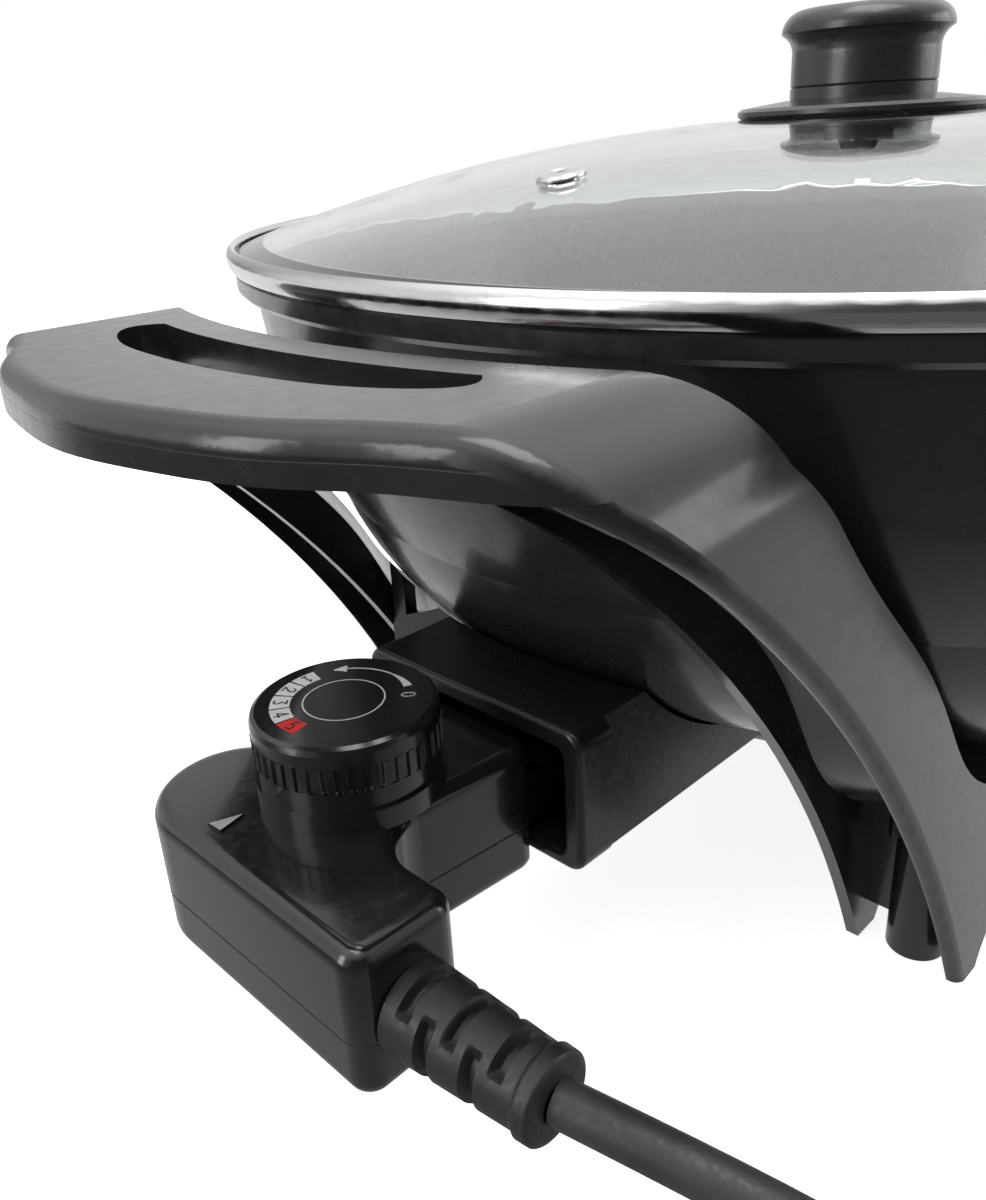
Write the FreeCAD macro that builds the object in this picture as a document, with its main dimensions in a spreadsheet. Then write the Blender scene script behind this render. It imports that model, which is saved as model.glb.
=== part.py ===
import FreeCAD
import Part
import Sketcher
import math
import os
from FreeCAD import Vector

doc = FreeCAD.newDocument("ElectricWok")
sheet = doc.addObject("Spreadsheet::Sheet", "Sizes")
row_count = 0


def rule_of(value):
    """How a size or a plain number reads in a sheet rule."""
    return value.rule if isinstance(value, Size) else "(%.12g)" % value


class Size(float):
    """A number that keeps the sheet rule it comes from, so that features can be bound to it."""

    def __new__(cls, value, rule):
        made = float.__new__(cls, value)
        made.rule = rule
        return made

    def __add__(self, other):
        return Size(float(self) + other, "(%s + %s)" % (self.rule, rule_of(other)))

    def __radd__(self, other):
        return Size(other + float(self), "(%s + %s)" % (rule_of(other), self.rule))

    def __sub__(self, other):
        return Size(float(self) - other, "(%s - %s)" % (self.rule, rule_of(other)))

    def __rsub__(self, other):
        return Size(other - float(self), "(%s - %s)" % (rule_of(other), self.rule))

    def __mul__(self, other):
        return Size(float(self) * other, "(%s * %s)" % (self.rule, rule_of(other)))

    def __rmul__(self, other):
        return Size(other * float(self), "(%s * %s)" % (rule_of(other), self.rule))

    def __truediv__(self, other):
        return Size(float(self) / other, "(%s / %s)" % (self.rule, rule_of(other)))

    def __neg__(self):
        return Size(-float(self), "(0 - %s)" % self.rule)


def size(name, value):
    """Writes one driving size, in millimetres or degrees, to the sheet."""
    global row_count
    row_count += 1
    sheet.set("A%d" % row_count, name)
    sheet.set("B%d" % row_count, str(value))
    sheet.setAlias("B%d" % row_count, name)
    return Size(value, "Sizes." + name)


def bind(item, path, value):
    """Sets up a property to follow the sheet when its value comes from there."""
    if isinstance(value, Size):
        item.setExpression(path, value.rule)


def bind_place(item, place):
    for axis, value in zip("xyz", place):
        bind(item, "Placement.Base." + axis, value)


# Pan: a deep non-stick bowl with a rolled lip.
pan_lip_top = size("pan_lip_top", 149.7)
pan_lip_height = size("pan_lip_height", 5.7)
pan_lip_width = size("pan_lip_width", 4.5)
pan_wall = size("pan_wall", 3.5)
pan_mouth_radius = size("pan_mouth_radius", 165.5)
pan_lip_radius = pan_mouth_radius + pan_lip_width
pan_waist_radius = size("pan_waist_radius", 149.5)
pan_waist_height = size("pan_waist_height", 91.0)
pan_heel_radius = size("pan_heel_radius", 131.0)
pan_heel_height = size("pan_heel_height", 61.5)
pan_floor_radius = size("pan_floor_radius", 105.0)
pan_floor_height = size("pan_floor_height", 45.0)

# Clearances between neighbours.
running_gap = size("running_gap", 0.3)
lid_gap = size("lid_gap", 0.3)
bowl_gap = size("bowl_gap", 0.8)

# Lid: low glass dome in a rolled steel band, with a screwed knob.
band_height = size("band_height", 5.0)
band_sheet = size("band_sheet", 0.8)
band_inward = size("band_inward", 2.6)
band_roll = size("band_roll", 1.7)
band_drop = size("band_drop", 0.5)
lid_skirt_depth = size("lid_skirt_depth", 4.0)
glass_thickness = size("glass_thickness", 4.0)
glass_inset = size("glass_inset", 3.4)
glass_sunk = size("glass_sunk", 1.7)
ground_width = size("ground_width", 7.0)
dome_rise = size("dome_rise", 23.7)
dome_flat = size("dome_flat", 14.0)
knob_hole_radius = size("knob_hole_radius", 3.2)
vent_hole_radius = size("vent_hole_radius", 3.6)
vent_flange_radius = size("vent_flange_radius", 5.6)
vent_distance = size("vent_distance", 110.0)
vent_angle = size("vent_angle", 174.0)
knob_plate_radius = size("knob_plate_radius", 32.5)
knob_plate_height = size("knob_plate_height", 3.75)
knob_neck_radius = size("knob_neck_radius", 18.8)
knob_cap_radius = size("knob_cap_radius", 21.7)
knob_parting = size("knob_parting", 16.7)
knob_height = size("knob_height", 22.5)
insert_radius = size("insert_radius", 5.0)
insert_length = size("insert_length", 12.0)
screw_radius = size("screw_radius", 2.6)
screw_head_radius = size("screw_head_radius", 5.5)
screw_head_height = size("screw_head_height", 2.6)
washer_radius = size("washer_radius", 9.0)
washer_height = size("washer_height", 2.0)

# Heater under the pan.
heater_ring_radius = size("heater_ring_radius", 62.0)
heater_tube_radius = size("heater_tube_radius", 3.2)
heater_flat = size("heater_flat", 0.25)
cold_leg_reach = size("cold_leg_reach", 116.0)
pin_spacing = size("pin_spacing", 20.0)
pin_radius = size("pin_radius", 2.5)
pin_reach = size("pin_reach", 150.0)
bead_length = size("bead_length", 6.0)
bead_setback = size("bead_setback", 0.5)
bead_radius = size("bead_radius", 4.0)
guide_width = size("guide_width", 11.0)
guide_start = size("guide_start", 46.0)
guide_end = size("guide_end", 82.0)
guide_depth = size("guide_depth", 6.6)
skirt_radius = size("skirt_radius", 88.0)
skirt_width = size("skirt_width", 4.0)
skirt_flare = size("skirt_flare", 1.2)
skirt_window = size("skirt_window", 34.0)

# Base cover under the heater.
cover_radius = size("cover_radius", 86.0)
cover_top = size("cover_top", 38.5)
cover_bottom = size("cover_bottom", 26.0)
cover_wall = size("cover_wall", 2.5)
cover_taper = size("cover_taper", 2.5)
stud_radius = size("stud_radius", 3.0)
nut_across = size("nut_across", 10.0)
nut_height = size("nut_height", 3.6)

# Side mouldings: carrying loop, two legs and half of each apron.
handle_top = size("handle_top", 147.0)
handle_skirt = size("handle_skirt", 8.0)
handle_wall = size("handle_wall", 3.0)
crease_round = size("crease_round", 3.8)
leg_round_radius = size("leg_round_radius", 2.4)
loop_flat_half = size("loop_flat_half", 60.0)
shoulder_radius = size("shoulder_radius", 24.0)
foot_half = size("foot_half", 91.0)
leg_inner_half = size("leg_inner_half", 64.0)
leg_top_inner_half = size("leg_top_inner_half", 61.0)
foot_reach = size("foot_reach", 100.0)
foot_length = size("foot_length", 8.0)
knee_reach = size("knee_reach", 155.0)
knee_height = size("knee_height", 95.0)
rim_gap = size("rim_gap", 17.0)
rim_radius = pan_lip_radius + rim_gap
rim_width = size("rim_width", 8.0)
hole_radius = rim_radius + rim_width
hole_width = size("hole_width", 14.0)
hole_reach = hole_radius + hole_width
bar_width = size("bar_width", 20.0)
handle_reach = hole_reach + bar_width
hip_setback = size("hip_setback", 27.0)
hip_reach = handle_reach - hip_setback
hole_half = size("hole_half", 47.0)
saddle_gap_top = size("saddle_gap_top", 21.0)
saddle_gap_waist = size("saddle_gap_waist", 6.0)
saddle_gap_low = size("saddle_gap_low", 8.0)
apron_top = size("apron_top", 30.0)
apron_bottom = size("apron_bottom", 10.0)
apron_seam = size("apron_seam", 0.3)
leg_boss_radius = size("leg_boss_radius", 6.5)
leg_boss_reach = size("leg_boss_reach", 93.0)
leg_boss_side = size("leg_boss_side", 77.5)
leg_boss_height = size("leg_boss_height", 40.0)
foot_plug_radius = size("foot_plug_radius", 4.5)
foot_plug_depth = size("foot_plug_depth", 6.0)
arm_top = size("arm_top", 36.0)
arm_bottom = size("arm_bottom", 29.0)
arm_width = size("arm_width", 16.0)
arm_start = size("arm_start", 66.0)
arm_screw_radius = size("arm_screw_radius", 2.0)
arm_screw_head = size("arm_screw_head", 3.0)
arm_screw_length = size("arm_screw_length", 14.0)
screw_fit = size("screw_fit", 0.05)

# Socket housing for the plug-in thermostat.
housing_front = size("housing_front", 158.5)
housing_half = size("housing_half", 30.3)
housing_top = size("housing_top", 67.5)
housing_bottom = size("housing_bottom", 34.5)
housing_wall = size("housing_wall", 2.4)
bezel_depth = size("bezel_depth", 10.0)
bezel_half = size("bezel_half", 32.8)
bezel_top = size("bezel_top", 68.1)
bezel_side_lip = size("bezel_side_lip", 5.1)
bezel_top_lip = size("bezel_top_lip", 4.8)
bezel_low_lip = size("bezel_low_lip", 3.8)
bezel_corner = size("bezel_corner", 4.0)
bezel_edge = size("bezel_edge", 1.5)
keyway_half = size("keyway_half", 16.8)
web_reach = size("web_reach", 125.0)
web_sheet = size("web_sheet", 4.0)
web_low = size("web_low", 45.0)
web_end_top = size("web_end_top", 55.0)
post_height = size("post_height", 75.0)
post_width = size("post_width", 5.0)

# Thermostat body that slides out of the socket.
head_left = size("head_left", 222.8)
head_right = size("head_right", 155.5)
head_top = size("head_top", 61.0)
head_bottom = size("head_bottom", 30.0)
head_step = size("head_step", 159.2)
head_step_top = size("head_step_top", 39.0)
head_round_radius = size("head_round_radius", 16.5)
head_round_side = size("head_round_side", 16.4)
neck_root = size("neck_root", 16.8)
neck_end = size("neck_end", 18.8)
neck_corner = size("neck_corner", 6.0)
neck_fillet = size("neck_fillet", 3.0)
arm_fillet = size("arm_fillet", 12.0)
arm_corner = size("arm_corner", 4.5)
head_wall = size("head_wall", 2.2)
lead_arm_width = size("lead_arm_width", 23.3)
lead_arm_end = size("lead_arm_end", 41.0)
nose_end = size("nose_end", 126.0)
nose_half = size("nose_half", 16.0)
nose_rise = size("nose_rise", 9.0)
nose_drop = size("nose_drop", 4.8)
nose_wall = size("nose_wall", 1.2)
probe_radius = size("probe_radius", 2.8)
probe_tip = size("probe_tip", 52.0)
probe_fit = size("probe_fit", 0.1)
probe_root = size("probe_root", 166.0)
sleeve_radius = size("sleeve_radius", 3.3)
sleeve_start = size("sleeve_start", 128.0)
sleeve_fit = size("sleeve_fit", 0.1)
stem_radius = size("stem_radius", 1.5)
block_front = size("block_front", 151.0)
block_length = size("block_length", 9.0)
block_half = size("block_half", 14.6)
block_height = size("block_height", 7.0)
case_screw_radius = size("case_screw_radius", 1.5)
case_screw_head = size("case_screw_head", 2.8)
case_screw_sink = size("case_screw_sink", 2.6)
case_boss_radius = size("case_boss_radius", 3.6)
case_edge = size("case_edge", 3.5)
switch_height = size("switch_height", 5.6)
switch_width = size("switch_width", 14.0)
blade_width = size("blade_width", 6.0)
blade_sheet = size("blade_sheet", 0.8)
blade_length = size("blade_length", 30.0)

# Dial on the thermostat.
dial_x = size("dial_x", -189.6)
dial_radius = size("dial_radius", 18.6)
dial_top = size("dial_top", 79.0)
dial_skirt = size("dial_skirt", 69.6)
dial_wall = size("dial_wall", 2.0)
dial_face_radius = size("dial_face_radius", 16.3)
dial_face_sheet = size("dial_face_sheet", 0.6)
collar_radius = size("collar_radius", 18.0)
collar_height = size("collar_height", 8.2)
collar_foot_radius = size("collar_foot_radius", 18.8)
collar_foot_height = size("collar_foot_height", 4.0)
flute_height = size("flute_height", 5.2)
spindle_radius = size("spindle_radius", 3.0)
spindle_fit = size("spindle_fit", 0.08)
spindle_foot = size("spindle_foot", 45.0)
bearing_radius = size("bearing_radius", 6.0)
flute_depth = size("flute_depth", 0.5)
flute_count = 44

# Lead, strain relief and mains plug.
cord_diameter = size("cord_diameter", 7.6)
relief_root_radius = size("relief_root_radius", 8.6)
relief_end_radius = size("relief_end_radius", 7.0)
relief_length = size("relief_length", 30.0)
relief_height = size("relief_height", 44.4)
relief_groove = size("relief_groove", 1.3)
relief_neck = size("relief_neck", 5.0)
coil_outer = size("coil_outer", 50.0)
coil_inner = size("coil_inner", 34.0)
coil_height = size("coil_height", 16.0)
mains_width = size("mains_width", 33.0)
mains_length = size("mains_length", 38.0)
mains_height = size("mains_height", 18.0)
mains_sleeve_radius = size("mains_sleeve_radius", 5.6)
mains_sleeve_length = size("mains_sleeve_length", 14.0)
mains_pin_radius = size("mains_pin_radius", 2.4)
mains_pin_length = size("mains_pin_length", 19.0)
mains_pin_spacing = size("mains_pin_spacing", 19.0)
doc.recompute()


def spot(x, y):
    return Vector(x, y, 0)


def loop(*steps):
    """Closed outline: a start point, then lines, arcs through a point, or curves."""
    corner = steps[0]
    edges = []
    for step in [*steps[1:], steps[0]]:
        here = spot(*corner)
        if step[0] == "arc":
            target = step[2]
            curve = Part.Arc(here, spot(*step[1]), spot(*target))
        elif step[0] == "curve":
            target = step[1][-1]
            curve = Part.BSplineCurve()
            curve.interpolate([here] + [spot(*p) for p in step[1]])
        else:
            target = step
            if (spot(*target) - here).Length < 1e-7:
                continue
            curve = Part.LineSegment(here, spot(*target))
        edges.append((curve, [corner, target]))
        corner = target
    return edges


def ring(x, y, radius):
    return [(Part.Circle(Vector(x, y, 0), Vector(0, 0, 1), radius), [(x, y)])]


def body(label, x=0.0, y=0.0, z=0.0, turn=0.0):
    item = doc.addObject("PartDesign::Body", label)
    item.Label = label
    item.Placement = FreeCAD.Placement(Vector(x, y, z), FreeCAD.Rotation(Vector(0, 0, 1), turn))
    bind_place(item, (x, y, z))
    return item


def sketch(item, role, edges):
    drawing = item.newObject("Sketcher::SketchObject", item.Name + "_outline")
    origin_plane = [f for f in item.Origin.OriginFeatures if f.Role == role][0]
    drawing.AttachmentSupport = [(origin_plane, "")]
    drawing.MapMode = "FlatFace"
    drawing.addGeometry([curve for curve, corners in edges], False)
    ties = []
    rules = []
    for number, (curve, corners) in enumerate(edges):
        for x, y in corners:
            where = 3 if len(corners) == 1 else nearer_end(drawing, number, x, y)
            for axis, value in (("DistanceX", x), ("DistanceY", y)):
                if isinstance(value, Size) and abs(value) > 1e-6:
                    ties.append(Sketcher.Constraint(axis, -1, 1, number, where, float(value)))
                    rules.append(value.rule)
    drawing.addConstraint(ties)
    for number, rule in enumerate(rules):
        drawing.setExpression("Constraints[%d]" % number, rule)
    return drawing


def nearer_end(drawing, number, x, y):
    """Which end of a sketch curve a corner is: 1 for its start, 2 for its finish."""
    gaps = [(drawing.getPoint(number, end) - spot(x, y)).Length for end in (1, 2)]
    return 1 if gaps[0] < gaps[1] else 2


def lift(drawing, offset):
    """Raises a sketch along its own normal."""
    drawing.AttachmentOffset = FreeCAD.Placement(Vector(0, 0, offset), FreeCAD.Rotation())
    bind(drawing, "AttachmentOffset.Base.z", offset)


def revolved(item, edges, cut=False):
    kind = "PartDesign::Groove" if cut else "PartDesign::Revolution"
    drawing = sketch(item, "XZ_Plane", edges)
    feature = item.newObject(kind, item.Name + ("_groove" if cut else "_turned"))
    feature.Profile = drawing
    feature.ReferenceAxis = (drawing, ["V_Axis"])
    feature.Angle = 360.0
    return feature


def raised(item, edges, bottom, top, role="XY_Plane", cut=False):
    """Pads, or cuts, an outline from one level to another along the plane's normal."""
    drawing = sketch(item, role, edges)
    lift(drawing, bottom)
    kind = "PartDesign::Pocket" if cut else "PartDesign::Pad"
    feature = item.newObject(kind, item.Name + ("_cut" if cut else "_pad"))
    feature.Profile = drawing
    feature.Length = top - bottom
    bind(feature, "Length", top - bottom)
    if cut:
        feature.Reversed = True
    return feature


def joined(label, *parts):
    fused = doc.addObject("Part::MultiFuse", label)
    fused.Label = label
    fused.Shapes = list(parts)
    return fused


def cut_from(label, base, tool):
    result = doc.addObject("Part::Cut", label)
    result.Label = label
    result.Base = base
    result.Tool = tool
    return result


def overlap(label, first, second):
    result = doc.addObject("Part::Common", label)
    result.Label = label
    result.Base = first
    result.Tool = second
    return result


def mirrored(label, source, normal):
    result = doc.addObject("Part::Mirroring", label)
    result.Label = label
    result.Source = source
    result.Normal = normal
    result.Base = Vector(0, 0, 0)
    return result


def group(label, *parts):
    result = doc.addObject("Part::Compound", label)
    result.Label = label
    result.Links = list(parts)
    return result


def box(label, x0, y0, z0, x1, y1, z1):
    item = doc.addObject("Part::Box", label)
    item.Label = label
    for side, span in (("Length", x1 - x0), ("Width", y1 - y0), ("Height", z1 - z0)):
        setattr(item, side, span)
        bind(item, side, span)
    item.Placement = FreeCAD.Placement(Vector(x0, y0, z0), FreeCAD.Rotation())
    bind_place(item, (x0, y0, z0))
    return item


def rod(label, radius, start, end):
    item = doc.addObject("Part::Cylinder", label)
    item.Label = label
    along = Vector(*end) - Vector(*start)
    item.Radius, item.Height = radius, along.Length
    item.Placement = FreeCAD.Placement(Vector(*start), FreeCAD.Rotation(Vector(0, 0, 1), along))
    bind(item, "Radius", radius)
    bind_place(item, start)
    steps = [last - first for first, last in zip(start, end) if abs(last - first) > 1e-9]
    if len(steps) == 1:
        bind(item, "Height", steps[0] if steps[0] > 0 else -steps[0])
    return item


pieces = []


def keep(item):
    pieces.append(item)
    return item


# ---------------------------------------------------------------- pan
pan_lip_bottom = pan_lip_top - pan_lip_height
wall_mid = ((pan_mouth_radius + pan_waist_radius) / 2 + 3.5, (pan_lip_bottom + pan_waist_height) / 2)


def bowl_outline(out):
    """Outer wall of the bowl from the lip down to the flat floor, moved out by a distance."""
    return [
        ("arc", (wall_mid[0] + out, wall_mid[1]), (pan_waist_radius + out * 0.95, pan_waist_height - out * 0.3)),
        ("arc", (pan_heel_radius + out * 0.8, pan_heel_height - out * 0.6),
         (pan_floor_radius, pan_floor_height - out)),
    ]


pan = body("pan")
revolved(pan, loop(
    (0, pan_floor_height),
    (0, pan_floor_height + pan_wall),
    (pan_floor_radius, pan_floor_height + pan_wall),
    ("arc", (pan_heel_radius - pan_wall * 0.8, pan_heel_height + pan_wall * 0.6),
     (pan_waist_radius - pan_wall * 0.95, pan_waist_height + pan_wall * 0.3)),
    ("arc", (wall_mid[0] - pan_wall, wall_mid[1]), (pan_mouth_radius - pan_wall, pan_lip_bottom)),
    (pan_mouth_radius - pan_wall, pan_lip_top),
    (pan_lip_radius - 1.2, pan_lip_top),
    (pan_lip_radius, pan_lip_top - 1.2),
    (pan_lip_radius, pan_lip_bottom + 1.2),
    (pan_lip_radius - 1.2, pan_lip_bottom),
    (pan_mouth_radius, pan_lip_bottom),
    *bowl_outline(0.0),
))
keep(pan)

# ---------------------------------------------------------------- lid
lid_seat = pan_lip_top + lid_gap
band_top = lid_seat + band_height
band_outer = pan_lip_radius + band_roll
band_in = band_outer - band_inward
glass_edge = band_outer - glass_inset
dome_span = glass_edge - dome_flat
dome_radius = (dome_span ** 2 + dome_rise ** 2) / (2 * dome_rise)
dome_centre = band_top - glass_sunk + dome_rise - dome_radius


def dome_height(radius, drop=0.0):
    """Height of the glass: a flat crown, then one arc down to the edge."""
    past_flat = max(radius - dome_flat, 0.0)
    return dome_centre + math.sqrt((dome_radius - drop) ** 2 - past_flat ** 2)


def dome_arc(start, end, drop=0.0):
    middle = (start + end) / 2
    return ("arc", (middle, dome_height(middle, drop)), (end, dome_height(end, drop)))


glass = body("glass_dome")
glass_top = dome_height(0.0)
ground_start = glass_edge - ground_width
ground_height = dome_height(ground_start, glass_thickness)
revolved(glass, loop(
    (knob_hole_radius, glass_top - glass_thickness),
    (knob_hole_radius, glass_top),
    (dome_flat, glass_top),
    dome_arc(dome_flat, glass_edge),
    (glass_edge, ground_height),
    (ground_start, ground_height),
    dome_arc(ground_start, dome_flat, glass_thickness),
))
vent_turn = math.radians(vent_angle)
vent_x = vent_distance * math.cos(vent_turn)
vent_y = vent_distance * math.sin(vent_turn)
vent_top = dome_height(vent_distance)
vent_slope = math.asin((vent_distance - dome_flat) / dome_radius)
vent_middle = Vector(vent_x, vent_y, vent_top)
vent_way = Vector(math.sin(vent_slope) * math.cos(vent_turn), math.sin(vent_slope) * math.sin(vent_turn),
                  math.cos(vent_slope))
vent_bore = rod("vent_bore", vent_hole_radius, vent_middle - vent_way * 12, vent_middle + vent_way * 8)
keep(cut_from("lid_glass", glass, vent_bore))

band = body("lid_band")
skirt_outer = pan_mouth_radius - pan_wall - 1.0
band_floor = ground_height - 0.02
band_low = pan_lip_radius + lid_gap
bulge_middle = lid_seat + band_height / 2
revolved(band, loop(
    (band_in, band_floor),
    (band_in, band_top - 1.3),
    ("arc", (band_in + 0.4, band_top - 0.4), (band_in + 1.3, band_top)),
    ("arc", (band_outer - 0.35, band_top - 1.1), (band_outer, bulge_middle)),
    ("arc", (band_outer - 0.3, lid_seat + 0.8), (band_low + 0.3, lid_seat - band_drop)),
    (band_low, lid_seat - band_drop),
    (band_low, lid_seat),
    (skirt_outer, lid_seat),
    (skirt_outer, lid_seat - lid_skirt_depth),
    (skirt_outer - band_sheet, lid_seat - lid_skirt_depth),
    (skirt_outer - band_sheet, band_floor),
))
keep(band)

vent = body("lid_vent", vent_x, vent_y, vent_top)
vent_tilt = math.degrees(vent_slope)
vent.Placement = FreeCAD.Placement(
    Vector(vent_x, vent_y, vent_top),
    FreeCAD.Rotation(Vector(-vent_y, vent_x, 0), vent_tilt))
revolved(vent, loop(
    (1.4, -glass_thickness - 1.0),
    (1.4, 1.1),
    (2.2, 1.5),
    (vent_flange_radius - 0.6, 1.2),
    (vent_flange_radius, 0.5),
    (vent_flange_radius, 0.12),
    (vent_hole_radius - 0.35, 0.12),
    (vent_hole_radius - 0.35, -glass_thickness - 0.15),
    (vent_flange_radius - 0.6, -glass_thickness - 0.15),
    (vent_flange_radius - 0.6, -glass_thickness - 1.0),
))
keep(vent)

plate_seat = glass_top + 0.05
knob_base = plate_seat + knob_plate_height
knob_plate = body("lid_knob_plate")
plate_low = knob_plate_radius - 0.8
plate_gap = plate_seat - glass_top
revolved(knob_plate, loop(
    (knob_hole_radius, plate_seat),
    (knob_hole_radius, knob_base),
    (knob_neck_radius + 1.0, knob_base),
    (knob_plate_radius - 1.2, knob_base - 1.5),
    (knob_plate_radius, knob_base - 2.3),
    (knob_plate_radius, knob_base - 3.3),
    (plate_low, dome_height(plate_low) + plate_gap),
    ("arc", ((plate_low + dome_flat) / 2, dome_height((plate_low + dome_flat) / 2) + plate_gap),
     (dome_flat, plate_seat)),
))
keep(knob_plate)

knob = body("lid_knob")
insert_top = knob_base + insert_length
crown_radius = knob_cap_radius - 6.0
crown_ball = (crown_radius ** 2 + 1.0) / 2
crown_middle = knob_base + knob_height - crown_ball + math.sqrt(crown_ball ** 2 - crown_radius ** 2 / 4)
revolved(knob, loop(
    (insert_radius, knob_base),
    (knob_neck_radius, knob_base),
    (knob_neck_radius, knob_base + 2.8),
    (knob_neck_radius - 0.4, knob_base + 3.1),
    (knob_neck_radius, knob_base + 3.4),
    (knob_neck_radius, knob_base + 10.5),
    ("arc", (knob_neck_radius + 0.9, knob_base + 14.2), (knob_cap_radius, knob_base + knob_parting - 0.8)),
    (knob_cap_radius, knob_base + knob_parting),
    ("arc", (knob_cap_radius - 1.7, knob_base + knob_parting + 3.3), (crown_radius, knob_base + knob_height - 1.0)),
    ("arc", (crown_radius / 2, crown_middle), (0, knob_base + knob_height)),
    (0, insert_top),
    (insert_radius, insert_top),
))
keep(knob)

screw_seat = dome_height(0.0, glass_thickness) - washer_height - 0.05
insert = body("lid_knob_insert")
revolved(insert, loop(
    (screw_radius, knob_base),
    (insert_radius, knob_base),
    (insert_radius, insert_top),
    (0, insert_top),
    (0, insert_top - 2.0),
    (screw_radius, insert_top - 2.0),
))
keep(insert)

washer = body("lid_washer")
revolved(washer, loop(
    (screw_radius, screw_seat),
    (washer_radius, screw_seat),
    (washer_radius, screw_seat + washer_height),
    (screw_radius, screw_seat + washer_height),
))
keep(washer)

lid_screw = body("lid_screw")
revolved(lid_screw, loop(
    (0, screw_seat - screw_head_height),
    (screw_head_radius - 1.2, screw_seat - screw_head_height),
    (screw_head_radius, screw_seat - 0.6),
    (screw_head_radius, screw_seat),
    (screw_radius, screw_seat),
    (screw_radius, insert_top - 2.4),
    (0, insert_top - 2.4),
))
raised(lid_screw, loop((-4.0, -0.5), (4.0, -0.5), (4.0, 0.5), (-4.0, 0.5)),
       screw_seat - screw_head_height - 1.0, screw_seat - screw_head_height + 1.2, cut=True)
keep(lid_screw)

# ---------------------------------------------------------------- heater
pin_half = pin_spacing / 2
heater_ring = body("heater_ring")
flat_height = heater_tube_radius - heater_flat
flat_half = math.sqrt(heater_tube_radius ** 2 - flat_height ** 2)
heater_axis = pan_floor_height - flat_height
revolved(heater_ring, loop(
    (heater_ring_radius - flat_half, pan_floor_height),
    (heater_ring_radius + flat_half, pan_floor_height),
    ("arc", (heater_ring_radius, heater_axis - heater_tube_radius),
     (heater_ring_radius - flat_half, pan_floor_height)),
))
ring_gap = box("ring_gap", -heater_ring_radius - 8, -pin_half + heater_tube_radius, heater_axis - 6,
               -heater_ring_radius + 8, pin_half - heater_tube_radius, pan_floor_height + 4)
open_ring = cut_from("open_ring", heater_ring, ring_gap)
leg_a = rod("cold_leg_near", heater_tube_radius - 0.4, (-heater_ring_radius, -pin_half, heater_axis),
            (-cold_leg_reach, -pin_half, heater_axis))
leg_b = rod("cold_leg_far", heater_tube_radius - 0.4, (-heater_ring_radius, pin_half, heater_axis),
            (-cold_leg_reach, pin_half, heater_axis))
keep(joined("heater_tube", open_ring, leg_a, leg_b))

pin_a = rod("pin_near", pin_radius, (-cold_leg_reach, -pin_half, heater_axis), (-pin_reach, -pin_half, heater_axis))
pin_b = rod("pin_far", pin_radius, (-cold_leg_reach, pin_half, heater_axis), (-pin_reach, pin_half, heater_axis))
keep(group("power_pins", pin_a, pin_b))


def bead(name, side):
    bead_end = bead_setback - cold_leg_reach
    outer = rod(name + "_outer", bead_radius, (bead_end + bead_length, side, heater_axis),
                (bead_end, side, heater_axis))
    inner = rod(name + "_bore", heater_tube_radius - 0.4, (bead_end + bead_length + 1, side, heater_axis),
                (bead_end - 1, side, heater_axis))
    return cut_from(name, outer, inner)


keep(group("pin_insulators", bead("bead_near", -pin_half), bead("bead_far", pin_half)))

guide_block = box("guide_block", -guide_end, -guide_width / 2, pan_floor_height - guide_depth,
                  -guide_start, guide_width / 2, pan_floor_height)
guide_bore = rod("guide_bore", probe_radius + probe_fit, (-guide_end - 1, 0, heater_axis),
                 (-guide_start + 1, 0, heater_axis))
keep(cut_from("probe_guide", guide_block, guide_bore))

skirt_ring = body("skirt_ring")
revolved(skirt_ring, loop(
    (skirt_radius - skirt_width, cover_top),
    (skirt_radius, cover_top),
    (skirt_radius, pan_floor_height - 1.5),
    (skirt_radius + skirt_flare, pan_floor_height),
    (skirt_radius - skirt_width, pan_floor_height),
))
skirt_slot = box("skirt_slot", -skirt_radius - 4, -skirt_window / 2, cover_top - 1,
                 -skirt_radius + 12, skirt_window / 2, pan_floor_height + 1)
keep(cut_from("heater_skirt", skirt_ring, skirt_slot))

# ---------------------------------------------------------------- base cover
cover = body("cover_dish")
cover_low = cover_radius - cover_taper
revolved(cover, loop(
    (0, cover_bottom),
    (cover_low - 3.0, cover_bottom),
    (cover_low, cover_bottom + 3.0),
    (cover_radius, cover_top),
    (cover_radius - cover_wall, cover_top),
    (cover_low - cover_wall, cover_bottom + cover_wall + 1.0),
    (cover_low - cover_wall - 1.0, cover_bottom + cover_wall),
    (0, cover_bottom + cover_wall),
))

# ---------------------------------------------------------------- side mouldings
# The crease is the outer top edge of the loop; it runs on as the lower edge of each leg.
crease_plan = [(0.0, 0.0), (2.6, 0.24), (8.2, 0.47), (14.5, 0.61), (21.5, 0.82), (28.5, 0.93), (36.0, 1.0)]


def plan_curve(out):
    """The crease in plan, moved along its normal by a distance."""
    crease = [(back - handle_reach, share * (loop_flat_half + shoulder_radius)) for back, share in crease_plan]
    crease = [(crease[1][0], -crease[1][1])] + crease + [(crease[-1][0] + 6.0, foot_half + 10)]
    half = []
    for before, here, after in zip(crease, crease[1:], crease[2:]):
        along = (after[0] - before[0], after[1] - before[1])
        reach = math.hypot(*along)
        half.append((here[0] - out * along[1] / reach, here[1] + out * along[0] / reach))
    far = [(x, y) for x, y in half[1:]]
    near = [(x, -y) for x, y in reversed(half[1:])]
    return near, half[0], far


def plan_form(label, inset, bottom, top):
    near, tip, far = plan_curve(crease_round - inset)
    item = body(label)
    raised(item, loop(
        (0.0, -foot_half - 14), (near[0][0] + 6.0, -foot_half - 14), near[0],
        ("curve", near[1:] + [tip] + far),
        (far[-1][0] + 6.0, foot_half + 14), (0.0, foot_half + 14),
    ), bottom, top)
    return item


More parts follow.
